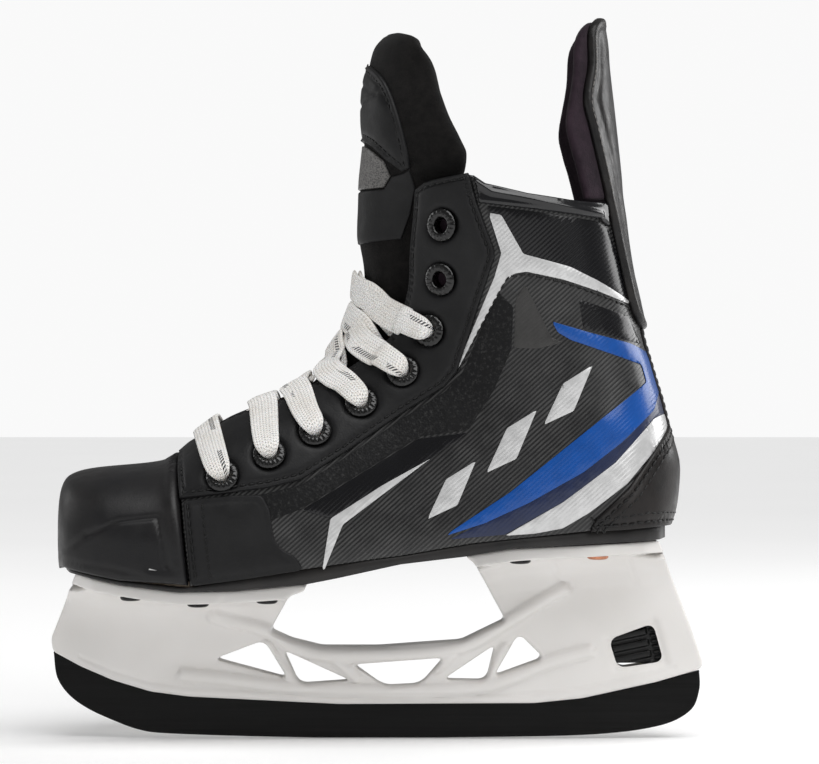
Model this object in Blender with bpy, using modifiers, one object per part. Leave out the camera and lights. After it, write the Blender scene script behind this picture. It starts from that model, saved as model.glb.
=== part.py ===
"""A youth hockey ice skate: padded lace-up boot on a two-tower plastic holder with a steel runner.

Frame: +Z up, toe towards -X, heel towards +X, outer (lateral) side towards -Y. The origin is the
middle of the runner's flat bottom. Numbers in the outlines are millimetres; MM turns them to metres.
"""
import math

import bmesh
import bpy
from mathutils import Matrix, Vector
from mathutils.bvhtree import BVHTree

for leftover in list(bpy.data.objects):
    bpy.data.objects.remove(leftover, do_unlink=True)

MM = 0.001
GAP = 0.3                 # air between neighbouring pieces
SIDES = {"left": -1, "right": 1}

# Layers of the boot wall, as distances outside (+) or inside (-) the boot surface
QUARTER = (-1.3, 0.0)
FACING = (GAP, 1.5)
TRIM = (GAP, 1.0)
COUNTER = (GAP, 1.2)
CAP = (-1.3, 1.5)
GUARD = (GAP, 1.9)
GUARD_LINER = (-2.6, 0.0)
LINER = (-3.8, -1.6)
BOARD_EDGE = -1.7
FOOTBED_EDGE = -4.2

BOARD_THICK = 2.0
FOOTBED_THICK = 3.5
FOOTBED_TOP = BOARD_THICK + GAP + FOOTBED_THICK   # above the outsole
EYELET_R = 5.3
EYELET_HOLE_R = 2.3
EYELET_BARREL_R = 3.0
LACE_R = 1.3              # round stand-in for a flat lace 9.5 wide and 1.5 thick
RUNNER_THICK = 3.0
RUNNER_INSERT = 5.0       # how far the runner's top edge reaches into the holder
INSERT_ENDS = (-95.9, 92.2)   # where that edge begins and ends; its rear stays clear of the pulled trigger
RIVET_R = 3.4
RIVET_SHANK_R = 1.7

# ---------------------------------------------------------------- side-view outlines (x, z)

FAN_PIVOT = (-57.0, 173.0)
COLLAR_LEVEL = 173.0
TOP_LEVEL = 236.0
NOSE_X = -100.4
RIDGE = [(-100.4, 76), (-99.5, 81.5), (-97, 83.9), (-90, 85.5), (-72, 87.3), (-65, 89.5), (-58, 95),
         (-48.6, 102), (-41.6, 105.6), (-32.6, 109.3), (-20, 117.3), (-12, 123.8), (-3.5, 135), (1.5, 146),
         (4, 158), (5.6, 167), (6.4, 174), (7, 182), (8, 200), (10, 238)]
UNDERSIDE = [(-100.4, 62), (-98, 50.5), (-80, 46.8), (-59.3, 45), (-24.2, 50.5), (1, 54), (29.7, 58.5),
             (71, 62.7), (86, 63.6), (91.5, 66), (95, 74), (96.2, 83), (96.2, 89), (94.4, 95.8), (92.9, 102.2),
             (91.3, 108.7), (89.3, 115.1), (87.4, 121.6), (85.5, 128), (84.2, 134.5), (82.9, 141),
             (81.7, 147.4), (80.3, 154), (79.2, 160), (78.4, 166.7), (77.4, 174), (76.8, 182), (75, 199),
             (73.5, 212), (71.7, 228), (70.5, 238)]
SOLE_TOP = [(-99, 55.8), (-80, 52.2), (-59.3, 50), (-24.2, 55.5), (1, 59), (7.4, 59.7), (29.7, 63.5),
            (71, 67.7), (92.2, 68.9), (98, 69)]
SOLE_BOTTOM = [(-99, 54.8), (-96.1, 54.3), (-80, 51.2), (-62.2, 49), (-44.2, 49.3), (-22.6, 51.1), (-11.9, 53.2),
               (7.6, 57.4), (28.7, 59.8), (42.8, 62.2), (88, 64.5), (96, 64.9)]
COLLAR_EDGE = [(30.2, 179.3), (34.2, 176.7), (47.3, 173.6), (60.5, 171.7), (66, 171.3)]
FACING_BACK = [(28.9, 180), (29.7, 178.7), (31.8, 170.4), (37.1, 155.8), (37.1, 153.2), (25.6, 117.7),
               (21.6, 112.9), (7.9, 104.3), (-9, 92.7), (-23.3, 83.9), (-34.2, 81.3), (-60.7, 77.7)]
GUARD_EDGE = [(71.9, 174.6), (69.7, 183.8), (67.1, 194.5), (65.1, 203.6), (66.8, 214.8), (67.1, 226.1),
              (71.3, 232.2), (74.5, 229)]
GUARD_LINER_EDGE = [(66, 174), (63.8, 182.5), (61.8, 189.1), (60.5, 197), (63.1, 211.6), (64.1, 223),
                    (68.5, 229.5), (73, 227)]
GUARD_BASE_EDGE = [(73.4, 171.7), (74.2, 164.8), (80, 140), (85.3, 132.2)]
HEEL_COUNTER_EDGE = [(96.5, 102), (92.2, 99), (79, 80.8), (68.4, 71), (66.8, 60)]
TONGUE_CROWN = [(-57, 92.5), (-50, 97), (-38.5, 103), (-28, 108.8), (-20, 115), (-12.5, 123.5), (-8, 131),
                (-5.2, 139), (-4, 147), (-4.6, 154), (-5.8, 161), (-5.6, 170), (-5.2, 180), (-4, 192),
                (-3.6, 205), (-2.8, 214), (-0.8, 222), (3.4, 226.5)]
EYELETS = [(-47.7, 84.5), (-33.2, 91.3), (-19, 98.4), (-4.5, 107.4), (8.7, 117.4), (17.1, 130.6),
           (20.8, 146.9), (21.3, 163.8)]
LACED_ROWS = 6
LACE_CROSSINGS = [(-53.2, 98.7), (-36.1, 107.1), (-24.5, 114.8), (-12.5, 128), (-9.0, 136.5), (-7.1, 145.5)]

# Across the boot: station, outer half-width, inner half-width, top roundness, bottom roundness,
# height of the widest line (0 top, 1 bottom), sideways shift. Stations run 0 to 1 from the nose to
# the pivot's vertical plane, 1 to 2 round the pivot, 2 to 3 up the shaft.
WIDTHS = [(0.0, 9, 9, 2.4, 3.0, 0.50, 3.0), (0.08, 20, 20, 2.4, 3.2, 0.52, 3.0), (0.25, 30, 30.5, 2.4, 4.0, 0.55, 2.6),
          (0.55, 36.5, 37.5, 2.4, 5.0, 0.58, 2.0), (1.0, 38.5, 40, 2.3, 5.5, 0.62, 1.5), (1.17, 38.5, 39.5, 2.2, 6.5, 0.64, 1.0),
          (1.33, 35, 34.5, 2.1, 7.0, 0.62, 0.4), (1.48, 31.5, 31.5, 2.0, 7.0, 0.58, 0), (1.58, 31, 31, 2.0, 4.6, 0.55, 0),
          (1.65, 30.5, 30.5, 2.0, 2.8, 0.52, 0), (1.75, 31, 31, 2.0, 2.3, 0.5, 0), (1.88, 33.5, 33.5, 2.0, 2.2, 0.5, 0),
          (2.0, 34.5, 34.5, 2.0, 2.2, 0.5, 0), (2.3, 33, 33, 2.0, 2.2, 0.5, 0), (3.0, 28, 28, 2.0, 2.2, 0.5, 0)]


def blend_at(table, key):
    """Straight interpolation of a table's columns at a key in its first column."""
    if key <= table[0][0]:
        return table[0][1:]
    for low, high in zip(table, table[1:]):
        if key <= high[0]:
            share = (key - low[0]) / (high[0] - low[0])
            return tuple(a + (b - a) * share for a, b in zip(low[1:], high[1:]))
    return table[-1][1:]


def smooth_line(points, steps=6):
    """Catmull-Rom curve through points of any dimension, with steps pieces between each two."""
    padded = [points[0]] + list(points) + [points[-1]]
    out = []
    for a, b, c, d in zip(padded, padded[1:], padded[2:], padded[3:]):
        for i in range(steps):
            t = i / steps
            out.append(tuple(
                0.5 * (2 * q + (r - p) * t + (2 * p - 5 * q + 4 * r - s) * t * t + (3 * q - p - 3 * r + s) * t ** 3)
                for p, q, r, s in zip(a, b, c, d)))
    out.append(tuple(points[-1]))
    return out


def height_on(outline, x):
    """Height of a left-to-right outline at x."""
    return blend_at(outline, x)[0]


def crossing(line, origin, direction, last=False):
    """Where a ray in the side view meets a line: its first or last crossing."""
    found = []
    for (ax, az), (bx, bz) in zip(line, line[1:]):
        ex, ez = bx - ax, bz - az
        det = direction[0] * -ez + ex * direction[1]
        if abs(det) < 1e-9:
            continue
        along = ((ax - origin[0]) * -ez + ex * (az - origin[1])) / det
        share = (direction[0] * (az - origin[1]) - direction[1] * (ax - origin[0])) / det
        if -1e-6 <= share <= 1 + 1e-6 and along > 0:
            found.append((along, (ax + ex * share, az + ez * share)))
    found.sort()
    return found[-1 if last else 0][1]


RIDGE_LINE = smooth_line(RIDGE)
UNDERSIDE_LINE = smooth_line(UNDERSIDE)


def section_ends(station):
    """Top (or front) and bottom (or back) points of the boot's section at a station."""
    if station <= 1:
        x = NOSE_X + 0.02 + (FAN_PIVOT[0] - NOSE_X) * station ** 1.6
        return (crossing(RIDGE_LINE, (x, 200), (0, -1)), crossing(UNDERSIDE_LINE, (x, 0), (0, 1)))
    if station <= 2:
        angle = math.radians(-90 + 90 * (station - 1))
        ray = (math.cos(angle), math.sin(angle))
        return (crossing(RIDGE_LINE, FAN_PIVOT, ray), crossing(UNDERSIDE_LINE, FAN_PIVOT, ray, last=True))
    z = COLLAR_LEVEL + (TOP_LEVEL - COLLAR_LEVEL) * (station - 2)
    return (crossing(RIDGE_LINE, (-200, z), (1, 0)), crossing(UNDERSIDE_LINE, (200, z), (-1, 0)))


def section_ring(station, around):
    """One closed section of the boot surface, from its top round the outer side and back."""
    (fx, fz), (bx, bz) = section_ends(station)
    outer, inner, top_n, bottom_n, middle, shift = blend_at(WIDTHS, station)
    ring = []
    for i in range(around):
        turn = 2 * math.pi * i / around
        c, s = math.cos(turn), math.sin(turn)
        power = 2 / (top_n if c >= 0 else bottom_n)
        level = middle * (1 - c ** power) if c >= 0 else middle + (1 - middle) * (-c) ** power
        half = (outer if s >= 0 else inner) * abs(s) ** power
        ring.append((fx + (bx - fx) * level, shift - math.copysign(half, s), fz + (bz - fz) * level))
    return ring


# ---------------------------------------------------------------- scene helpers

parts = bpy.data.collections.new("ice_skate")
cutters = bpy.data.collections.new("cutters")
for group in (parts, cutters):
    bpy.context.scene.collection.children.link(group)
materials = {}


def material(name, colour, roughness, metallic=0.0):
    made = bpy.data.materials.new(name)
    made.use_nodes = True
    shader = made.node_tree.nodes["Principled BSDF"]
    shader.inputs["Base Color"].default_value = (*colour, 1)
    shader.inputs["Roughness"].default_value = roughness
    shader.inputs["Metallic"].default_value = metallic
    materials[name] = made


material("charcoal_weave", (0.03, 0.03, 0.035), 0.3)
material("black_leather", (0.02, 0.02, 0.02), 0.6)
material("black_gloss", (0.015, 0.015, 0.02), 0.15)
material("cap_plastic", (0.02, 0.022, 0.025), 0.45)
material("black_felt", (0.02, 0.02, 0.02), 0.95)
material("sole_composite", (0.03, 0.03, 0.033), 0.5)
material("board_fibre", (0.35, 0.27, 0.2), 0.9)
material("liner_fabric", (0.06, 0.04, 0.05), 0.9)
material("guard_plastic", (0.02, 0.02, 0.022), 0.45)
material("counter_leather", (0.025, 0.02, 0.019), 0.5)
material("footbed_foam", (0.05, 0.05, 0.055), 0.9)
material("rivet_steel", (0.35, 0.35, 0.36), 0.4, 1.0)
material("aglet_film", (0.7, 0.68, 0.62), 0.2)
material("eyelet_black", (0.02, 0.02, 0.02), 0.3, 0.6)
material("lace_cotton", (0.85, 0.83, 0.8), 0.9)
material("holder_nylon", (0.85, 0.85, 0.85), 0.4)
material("runner_steel", (0.03, 0.03, 0.03), 0.35, 1.0)
material("trigger_nylon", (0.015, 0.015, 0.015), 0.4)
material("spring_steel", (0.5, 0.5, 0.5), 0.3, 1.0)
material("copper", (0.6, 0.3, 0.18), 0.35, 1.0)


def add_object(name, mesh, group, finish=None):
    made = bpy.data.objects.new(name, mesh)
    group.objects.link(made)
    if finish:
        mesh.materials.append(materials[finish])
    if group is cutters:
        made.hide_render = True
        made.display_type = "WIRE"
    return made


def mesh_from(name, bm):
    """A mesh from a consistently wound bmesh, turned so that its faces point out."""
    if bm.calc_volume(signed=True) < 0:
        bmesh.ops.reverse_faces(bm, faces=bm.faces)
    mesh = bpy.data.meshes.new(name)
    bm.to_mesh(mesh)
    bm.free()
    mesh.shade_smooth()
    mesh.set_sharp_from_angle(angle=math.radians(35))
    return mesh


def loft(name, rings, group=cutters, finish=None):
    """A closed solid through rings of equal point counts, given in millimetres."""
    bm = bmesh.new()
    rows = [[bm.verts.new(Vector(p) * MM) for p in ring] for ring in rings]
    count = len(rows[0])
    for low, high in zip(rows, rows[1:]):
        for i in range(count):
            j = (i + 1) % count
            bm.faces.new((low[i], low[j], high[j], high[i]))
    bm.faces.new(reversed(rows[0]))
    bm.faces.new(rows[-1])
    return add_object(name, mesh_from(name, bm), group, finish)


def slab(name, outline, low_y, high_y, group=cutters, finish=None, bevel=0):
    """A side-view outline (x, z) extruded from low_y to high_y."""
    rings = [[(x, y, z) for x, z in outline] for y in (low_y, high_y)]
    made = loft(name, rings, group, finish)
    if bevel:
        round_off(made, bevel)
    return made


def round_off(made, width, segments=2):
    edge = made.modifiers.new("round", "BEVEL")
    edge.width = width * MM
    edge.segments = segments
    edge.limit_method = "ANGLE"
    edge.angle_limit = math.radians(40)


def boolean(made, other, operation):
    cut = made.modifiers.new(operation.lower(), "BOOLEAN")
    cut.operation = operation
    cut.object = other
    cut.solver = "EXACT"
    return made


def cylinder(name, radius, low, high, group=cutters, finish=None, sides=16):
    """A round bar between two points given in millimetres."""
    low, high = Vector(low), Vector(high)
    bm = bmesh.new()
    bmesh.ops.create_cone(bm, cap_ends=True, segments=sides, radius1=radius * MM, radius2=radius * MM,
                          depth=(high - low).length * MM)
    turn = (high - low).to_track_quat("Z", "Y").to_matrix().to_4x4()
    bm.transform(Matrix.Translation((low + high) / 2 * MM) @ turn)
    return add_object(name, mesh_from(name, bm), group, finish)


# ---------------------------------------------------------------- boot surface

AROUND = 32
STATIONS = ([i / 7 for i in range(7)] + [1 + i / 13 for i in range(13)] + [2 + i / 4 for i in range(5)])


def boot_solid(offset):
    """The closed boot form, moved outwards along its normals by offset millimetres."""
    made = loft(f"boot_form_{offset:+.1f}", [section_ring(s, AROUND) for s in STATIONS])
    bm = bmesh.new()
    bm.from_mesh(made.data)
    bm.normal_update()
    for vert in bm.verts:
        vert.co += vert.normal * offset * MM
    bm.to_mesh(made.data)
    bm.free()
    return made


forms = {}


def form(offset):
    if offset not in forms:
        forms[offset] = boot_solid(offset)
    return forms[offset]


surface = form(0.0)
surface_tree = BVHTree.FromPolygons([v.co[:] for v in surface.data.vertices], [p.vertices[:] for p in surface.data.polygons])


def wall(x, z, side, offset=0.0):
    """Point beside the boot's wall at a side-view place, and the wall's outward normal."""
    start = Vector((x, side * 200, z)) * MM
    hit, normal, _, _ = surface_tree.ray_cast(start, Vector((0, -side, 0)))
    if normal.y * side < 0:
        normal = -normal
    return hit / MM + normal * offset, normal


OPENING_HALF = [(-57, 3), (-54.5, 8), (-51, 10.5), (-45, 12), (-20, 14.5), (0, 17.5), (6, 20), (20, 20)]


def opening_half(x):
    return blend_at(OPENING_HALF, x)[0]


def make_opening_cutter():
    """The slot between the facings, following the ridge from the throat to the shaft's top."""
    line = [p for p in RIDGE_LINE[::3] if p[0] >= -57.5 and p[1] < 200]
    rings = []
    for (ax, az), (bx, bz) in zip(line, line[1:]):
        length = math.hypot(bx - ax, bz - az)
        nx, nz = -(bz - az) / length, (bx - ax) / length
        half = opening_half(ax)
        rings.append([(ax + nx * h, y, az + nz * h) for h, y in ((30, -half), (30, half), (-13, half), (-13, -half))])
    return loft("opening_cutter", rings)


opening = make_opening_cutter()


def wall_piece(name, layer, outline, finish, side=0, slotted=False, holes=None):
    """A panel of the boot wall: a layer of the boot surface inside a side-view outline."""
    low_y, high_y = {0: (-90, 90), -1: (-90, -GAP / 2), 1: (GAP / 2, 90)}[side]
    piece = slab(name, outline, low_y, high_y, parts, finish)
    boolean(piece, form(layer[1]), "INTERSECT")
    boolean(piece, form(layer[0]), "DIFFERENCE")
    if slotted:
        boolean(piece, opening, "DIFFERENCE")
    if holes:
        boolean(piece, holes, "DIFFERENCE")
    return piece


def seam_x(z):
    """The toe cap's rear seam."""
    return -62.9 + (90 - z) * 0.1125


def above_sole(lift):
    return [(x, z + lift) for x, z in SOLE_TOP]


def make_eyelet_holes(side):
    bm = bmesh.new()
    for x, z in EYELETS:
        foot, normal = wall(x, z, side)
        turn = normal.to_track_quat("Z", "Y").to_matrix().to_4x4()
        bmesh.ops.create_cone(bm, cap_ends=True, segments=10, radius1=(EYELET_BARREL_R + 0.4) * MM,
                              radius2=(EYELET_BARREL_R + 0.4) * MM, depth=12 * MM,
                              matrix=Matrix.Translation(foot * MM) @ turn)
    return add_object(f"eyelet_holes_{side}", mesh_from("eyelet_holes", bm), cutters)


def make_eyelet(name, x, z, side):
    """A flanged ring, turned about its own axis."""
    barrel_end, seat, top = -2.0, FACING[1] + GAP + 0.5, FACING[1] + GAP + 1.5
    profile = [(EYELET_BARREL_R, barrel_end), (EYELET_BARREL_R, seat), (EYELET_R, seat), (EYELET_R - 0.6, top),
               (EYELET_HOLE_R, top - 0.6), (EYELET_HOLE_R, barrel_end)]
    foot, normal = wall(x, z, side)
    turn = normal.to_track_quat("Z", "Y").to_matrix().to_4x4()
    place = Matrix.Translation(foot * MM) @ turn
    sides = 10
    bm = bmesh.new()
    rows = []
    for i in range(sides):
        a = 2 * math.pi * i / sides
        rows.append([bm.verts.new(place @ (Vector((r * math.cos(a), r * math.sin(a), h)) * MM)) for r, h in profile])
    for i in range(sides):
        low, high = rows[i], rows[(i + 1) % sides]
        for k in range(len(profile)):
            m = (k + 1) % len(profile)
            bm.faces.new((low[k], low[m], high[m], high[k]))
    return add_object(name, mesh_from(name, bm), parts, "eyelet_black")


def make_boot():
    bottom = above_sole(GAP / 2)
    cap_outline = [(seam_x(40), 40), (seam_x(130), 130), (-120, 130), (-120, 56.2)]
    cap_outline += [p for p in bottom if p[0] < -62]
    cap_outline.append((seam_x(50.4), 50.4))
    wall_piece("toe_cap", CAP, cap_outline[1:], "cap_plastic")
    quarter_outline = [(seam_x(50.3) + GAP, 50.4), (seam_x(130) + GAP, 130), (-5, 175.4), (28.9, 179.9)]
    quarter_outline += COLLAR_EDGE + [(110, 170.6), (110, 69.1)]
    quarter_outline += [p for p in reversed(bottom) if p[0] > -59]
    facing_outline = [(seam_x(77.7) + GAP, 77.7), (seam_x(130) + GAP, 130), (-5, 175.5)] + FACING_BACK[:-1]
    trim_outline = [(30.6, 179.2)] + COLLAR_EDGE[1:] + [(72.9, 171.2), (73.1, 163.8), (70, 165.9), (32.4, 170.4)]
    liner_outline = [(-57, 74), (-38, 78), (-24, 85), (-10, 95), (7, 106), (20.5, 116), (23.5, 121), (31, 145), (32, 152),
                     (27, 166), (25, 178), (30, 178), (47, 173), (66, 170.7), (110, 170)]
    lifted = [(x, z + BOARD_THICK + 2 * GAP) for x, z in SOLE_TOP]
    liner_outline += [(110, lifted[-1][1])] + [p for p in reversed(lifted) if p[0] > -60] + [(-57, 55)]
    for word, side in SIDES.items():
        holes = make_eyelet_holes(side)
        wall_piece(f"quarter_{word}", QUARTER, quarter_outline, "charcoal_weave", side, True, holes)
        wall_piece(f"facing_{word}", FACING, facing_outline, "black_leather", side, True, holes)
        wall_piece(f"collar_trim_{word}", TRIM, trim_outline, "black_gloss", side)
        wall_piece(f"liner_{word}", LINER, liner_outline, "liner_fabric", side, True)
        for row, (x, z) in enumerate(EYELETS, 1):
            make_eyelet(f"eyelet_{word}_{row}", x, z, side)
    counter_outline = HEEL_COUNTER_EDGE[:-1] + [(67.2, 67.6)] + [p for p in bottom if p[0] > 70] + [(110, 69), (110, 102)]
    wall_piece("heel_counter", COUNTER, counter_outline, "counter_leather")


def layer_slab(name, low, high, edge, finish, ends=(-120, 120)):
    """A plate under the foot: between two curves, inside the boot form moved in by edge."""
    outline = [(ends[0], low(ends[0]))] + [(x, low(x)) for x, _ in SOLE_TOP] + [(ends[1], low(ends[1]))]
    outline += [(ends[1], high(ends[1]))] + [(x, high(x)) for x, _ in reversed(SOLE_TOP)] + [(ends[0], high(ends[0]))]
    piece = slab(name, outline, -90, 90, parts, finish)
    return boolean(piece, form(edge), "INTERSECT")


def make_soles(rivet_holes):
    def top(x):
        return height_on(SOLE_TOP, x)

    layer_slab("insole_board", lambda x: top(x) + GAP / 2, lambda x: top(x) + BOARD_THICK, BOARD_EDGE, "board_fibre")
    layer_slab("footbed", lambda x: top(x) + BOARD_THICK + GAP, lambda x: top(x) + BOARD_THICK + GAP + FOOTBED_THICK,
               FOOTBED_EDGE, "footbed_foam")
    outline = [(-120, 54.8)] + SOLE_BOTTOM + [(120, 64.9), (120, 68.8)]
    outline += [(x, z - GAP / 2) for x, z in reversed(SOLE_TOP)] + [(-120, 55.6)]
    outsole = slab("outsole", outline, -90, 90, parts, "sole_composite")
    boolean(outsole, rivet_holes, "DIFFERENCE")
    boolean(outsole, form(0.6), "INTERSECT")


# ---------------------------------------------------------------- tendon guard

def make_tendon_guard():
    base = GUARD_BASE_EDGE + [(110, 130), (110, 171.7)]
    wall_piece("tendon_guard_base", GUARD, base, "guard_plastic")
    upper = [(72.4, 172.1)] + GUARD_EDGE + [(110, 226), (110, 172.1)]
    wall_piece("tendon_guard", GUARD, upper, "guard_plastic")
    lining = [(66.5, 172.1)] + GUARD_LINER_EDGE + [(110, 224), (110, 172.1)]
    wall_piece("tendon_guard_liner", GUARD_LINER, lining, "liner_fabric")


# ---------------------------------------------------------------- tongue

CROWN_LINE = smooth_line(TONGUE_CROWN)
TONGUE_THICK = 6.5
TONGUE_SPLIT = 156.0
# Height of the crown point, half-width, depth from crown to wing edge
TONGUE_SIZES = [(92, 6, 5), (97, 7.4, 7.5), (103, 8, 8.5), (115, 9.8, 11.5), (131, 12, 14), (147, 13, 16.5), (156, 13.8, 18),
                (165, 15.5, 22), (172, 17.5, 28), (180, 21, 33), (183, 24, 33.5), (186, 26, 32.5), (192, 27, 29.5), (199, 26.5, 26),
                (205, 25.5, 23.8), (212, 23, 21.5), (218, 19.5, 18), (223, 14, 13), (226.5, 8, 6)]


def crown_frame(index):
    """Crown point and its outward direction in the side view."""
    a = CROWN_LINE[max(index - 1, 0)]
    b = CROWN_LINE[min(index + 1, len(CROWN_LINE) - 1)]
    length = math.hypot(b[0] - a[0], b[1] - a[1])
    return CROWN_LINE[index], (-(b[1] - a[1]) / length, (b[0] - a[0]) / length)


def tongue_arc(index, lift, share=1.0, count=9):
    """Points across the tongue, from its outer wing over the crown to its inner wing."""
    (cx, cz), (nx, nz) = crown_frame(index)
    half, depth = blend_at(TONGUE_SIZES, cz)
    if cz > 150:
        nx, nz = -1.0, 0.0
    arc = []
    for i in range(count):
        turn = math.pi / 2 * share * (2 * i / (count - 1) - 1)
        drop = depth * (1 - math.cos(turn)) - lift
        arc.append((cx - nx * drop, (half + lift) * math.sin(turn), cz - nz * drop))
    return arc


def tongue_body(name, indices, finish, layer=(-TONGUE_THICK, 0.0), share=1.0):
    rings = []
    for index in indices:
        outer = tongue_arc(index, layer[1], share)
        inner = tongue_arc(index, layer[0], share)
        rings.append(outer + inner[::-1])
    return loft(name, rings, parts, finish)


def make_tongue():
    rows = range(0, len(CROWN_LINE), 4)
    lower = [i for i in rows if CROWN_LINE[i][1] < TONGUE_SPLIT - 1]
    upper = [i for i in rows if CROWN_LINE[i][1] > TONGUE_SPLIT]
    tongue_body("tongue_lower", lower, "black_felt")
    tongue_body("tongue_upper", upper, "black_felt")
    panel = [i for i in upper if CROWN_LINE[i][1] < 217]
    tongue_body("tongue_panel", panel, "black_leather", (GAP, 1.3), 0.56)


# ---------------------------------------------------------------- lace

def over_tongue(x, z, share, lift):
    """Point over the tongue's crown near a side-view place, share of its half-width to one side."""
    index = min(range(len(CROWN_LINE)), key=lambda i: (CROWN_LINE[i][0] - x) ** 2 + (CROWN_LINE[i][1] - z) ** 2)
    (cx, cz), (nx, nz) = crown_frame(index)
    half, depth = blend_at(TONGUE_SIZES, cz)
    turn = math.asin(share)
    drop = depth * (1 - math.cos(turn)) - lift
    return Vector((cx - nx * drop, (half + lift) * share, cz - nz * drop))


def edge_point(x, z, side, inset, lift):
    """Point near a facing's edge at a ridge place: inset outwards from the edge, lift above the wall."""
    index = min(range(len(RIDGE_LINE)), key=lambda i: (RIDGE_LINE[i][0] - x) ** 2 + (RIDGE_LINE[i][1] - z) ** 2)
    ax, az = RIDGE_LINE[index]
    bx, bz = RIDGE_LINE[index + 1]
    length = math.hypot(bx - ax, bz - az)
    inward = Vector((bz - az, 0, -(bx - ax))) / length
    start = Vector((ax, 0, az)) - inward * 20 + Vector((0, side * (opening_half(ax) + inset), 0))
    hit, normal, _, _ = surface_tree.ray_cast(start * MM, inward)
    if normal.dot(inward) > 0:
        normal = -normal
    return hit / MM + (normal if inset > 0 else -inward) * lift


def between(a, b, share):
    return (a[0] + (b[0] - a[0]) * share, a[1] + (b[1] - a[1]) * share)


def strand(row, side, under):
    """Points from inside one eyelet, over the tongue, to the outside of the next eyelet opposite."""
    here, there = EYELETS[row], EYELETS[row + 1]
    cross = LACE_CROSSINGS[row + 1]
    rise = 1.9 if under else 4.9
    leave = between(LACE_CROSSINGS[row], cross, 0.45)
    arrive = between(cross, LACE_CROSSINGS[min(row + 2, LACED_ROWS - 1)], 0.2)
    foot, _ = wall(here[0], here[1], side, -4.4)
    slip = edge_point(*leave, side, 3.0, -4.4)
    above, _ = wall(there[0], there[1], -side, 5.7)
    top, _ = wall(*between(there, arrive, 0.3), -side, 5.6)
    sink, _ = wall(there[0], there[1], -side, 1.6)
    inside, _ = wall(there[0], there[1], -side, -2.0)
    return [foot, slip, edge_point(*leave, side, -2.0, -2.6), over_tongue(*between(leave, cross, 0.35), side * 0.75, 1.9),
            over_tongue(*between(leave, cross, 0.7), side * 0.4, (1.6 + rise) / 2), over_tongue(*cross, 0.0, rise),
            over_tongue(*between(cross, arrive, 0.5), -side * 0.45, (2.2 + rise) / 2),
            edge_point(*arrive, -side, -2.5, 4.4), edge_point(*arrive, -side, 2.5, 4.2), top, above, sink, inside]


def first_bar():
    """The straight bar across the throat, on the outside of the first two eyelets."""
    x, z = LACE_CROSSINGS[0]
    middle = [edge_point(x, z, -1, 3.0, 4.4), edge_point(x, z, -1, -4.0, 4.0), edge_point(x, z, 1, -4.0, 4.0),
              edge_point(x, z, 1, 3.0, 4.4)]
    ends = []
    for side in (-1, 1):
        here = EYELETS[0]
        near = between(here, LACE_CROSSINGS[0], 0.3)
        ends.append([wall(*near, side, 5.6)[0], wall(*here, side, 5.7)[0], wall(*here, side, 1.6)[0],
                     wall(*here, side, -2.0)[0]])
    return list(reversed(ends[0])) + middle + ends[1]


# Plan view (x, y) of the two tails where they lie on the footbed
HEEL_LOOP = [(36, 15.5), (44, 17), (54, 17.5), (64, 16.5), (73, 12.5), (79, 5.5), (80.5, -2), (77.5, -9), (70, -13.5), (60, -14.5),
             (50, -13), (40, -9), (30, -5.5), (18, -3.5), (6, -2), (-6, -1), (-18, -0.5), (-26, 0)]
TOE_LOOP = [(24, -16), (16, -17), (6, -17.5), (-6, -18), (-18, -18.5), (-30, -18.5), (-42, -17.5), (-51, -14), (-57.5, -7.5),
            (-60, 0), (-57.5, 7.5), (-51, 14), (-42, 17.5), (-30, 18.5), (-18, 18.5), (-6, 18), (6, 16), (16, 12.5), (25, 9)]


def tail(side):
    """From inside the last laced eyelet, down inside the boot and round on the footbed."""
    points = [wall(*EYELETS[LACED_ROWS - 1], side, -4.4)[0]]
    points += [wall(x, z, side, off)[0] for x, z, off in ((21.5, 124, -6.5), (26, 114, -8.0), (29.5, 102, -8.5),
                                                       (31.5, 88, -10.0))]
    for index, (x, y) in enumerate(HEEL_LOOP if side > 0 else TOE_LOOP):
        landing = (3.5, 0.8)[index] if index < 2 else 0.0
        points.append(Vector((x, y, height_on(SOLE_TOP, x) + FOOTBED_TOP + LACE_R + GAP + landing)))
    return points


def lace_route():
    """The whole lace, from one aglet to the other."""
    halves = []
    for side in (1, -1):
        half, here = [], side
        for row in range(LACED_ROWS - 1):
            half += strand(row, here, under=(side > 0) == (row % 2 == 0))
            here = -here
        half += tail(here)
        halves.append(half)
    return [tuple(p) for p in list(reversed(halves[1])) + first_bar() + halves[0]]


def spaced(points, step):
    """The smooth curve through points, read every step millimetres and closer in the bends."""
    fine = [Vector(p) for p in smooth_line(points, 10)]
    out, walked, heading = [fine[0]], 0.0, fine[1] - fine[0]
    for a, b, c in zip(fine, fine[1:], fine[2:]):
        walked += (b - a).length
        if walked >= step or (walked > 2.4 and heading.angle(c - b) > math.radians(32)):
            out.append(b)
            walked, heading = 0.0, c - b
    if (out[-1] - fine[-1]).length > step / 3:
        out.append(fine[-1])
    return out


def tube(name, points, radius, finish, resolution=2):
    curve = bpy.data.curves.new(name, "CURVE")
    curve.dimensions = "3D"
    curve.bevel_depth = radius * MM
    curve.bevel_resolution = resolution
    curve.use_fill_caps = True
    line = curve.splines.new("POLY")
    line.points.add(len(points) - 1)
    for slot, point in zip(line.points, points):
        slot.co = (*(Vector(point) * MM), 1)
    curve.materials.append(materials[finish])
    made = bpy.data.objects.new(name, curve)
    parts.objects.link(made)
    return made


def make_lace():
    route = spaced(lace_route(), 9.0)
    tube("lace", route, LACE_R, "lace_cotton", 1)
    for name, end, before in (("aglet_left", route[0], route[1]), ("aglet_right", route[-1], route[-2])):
        ahead = (end - before).normalized()
        cylinder(name, 1.6, end + ahead * GAP, end + ahead * 22, parts, "aglet_film", 12)


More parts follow.
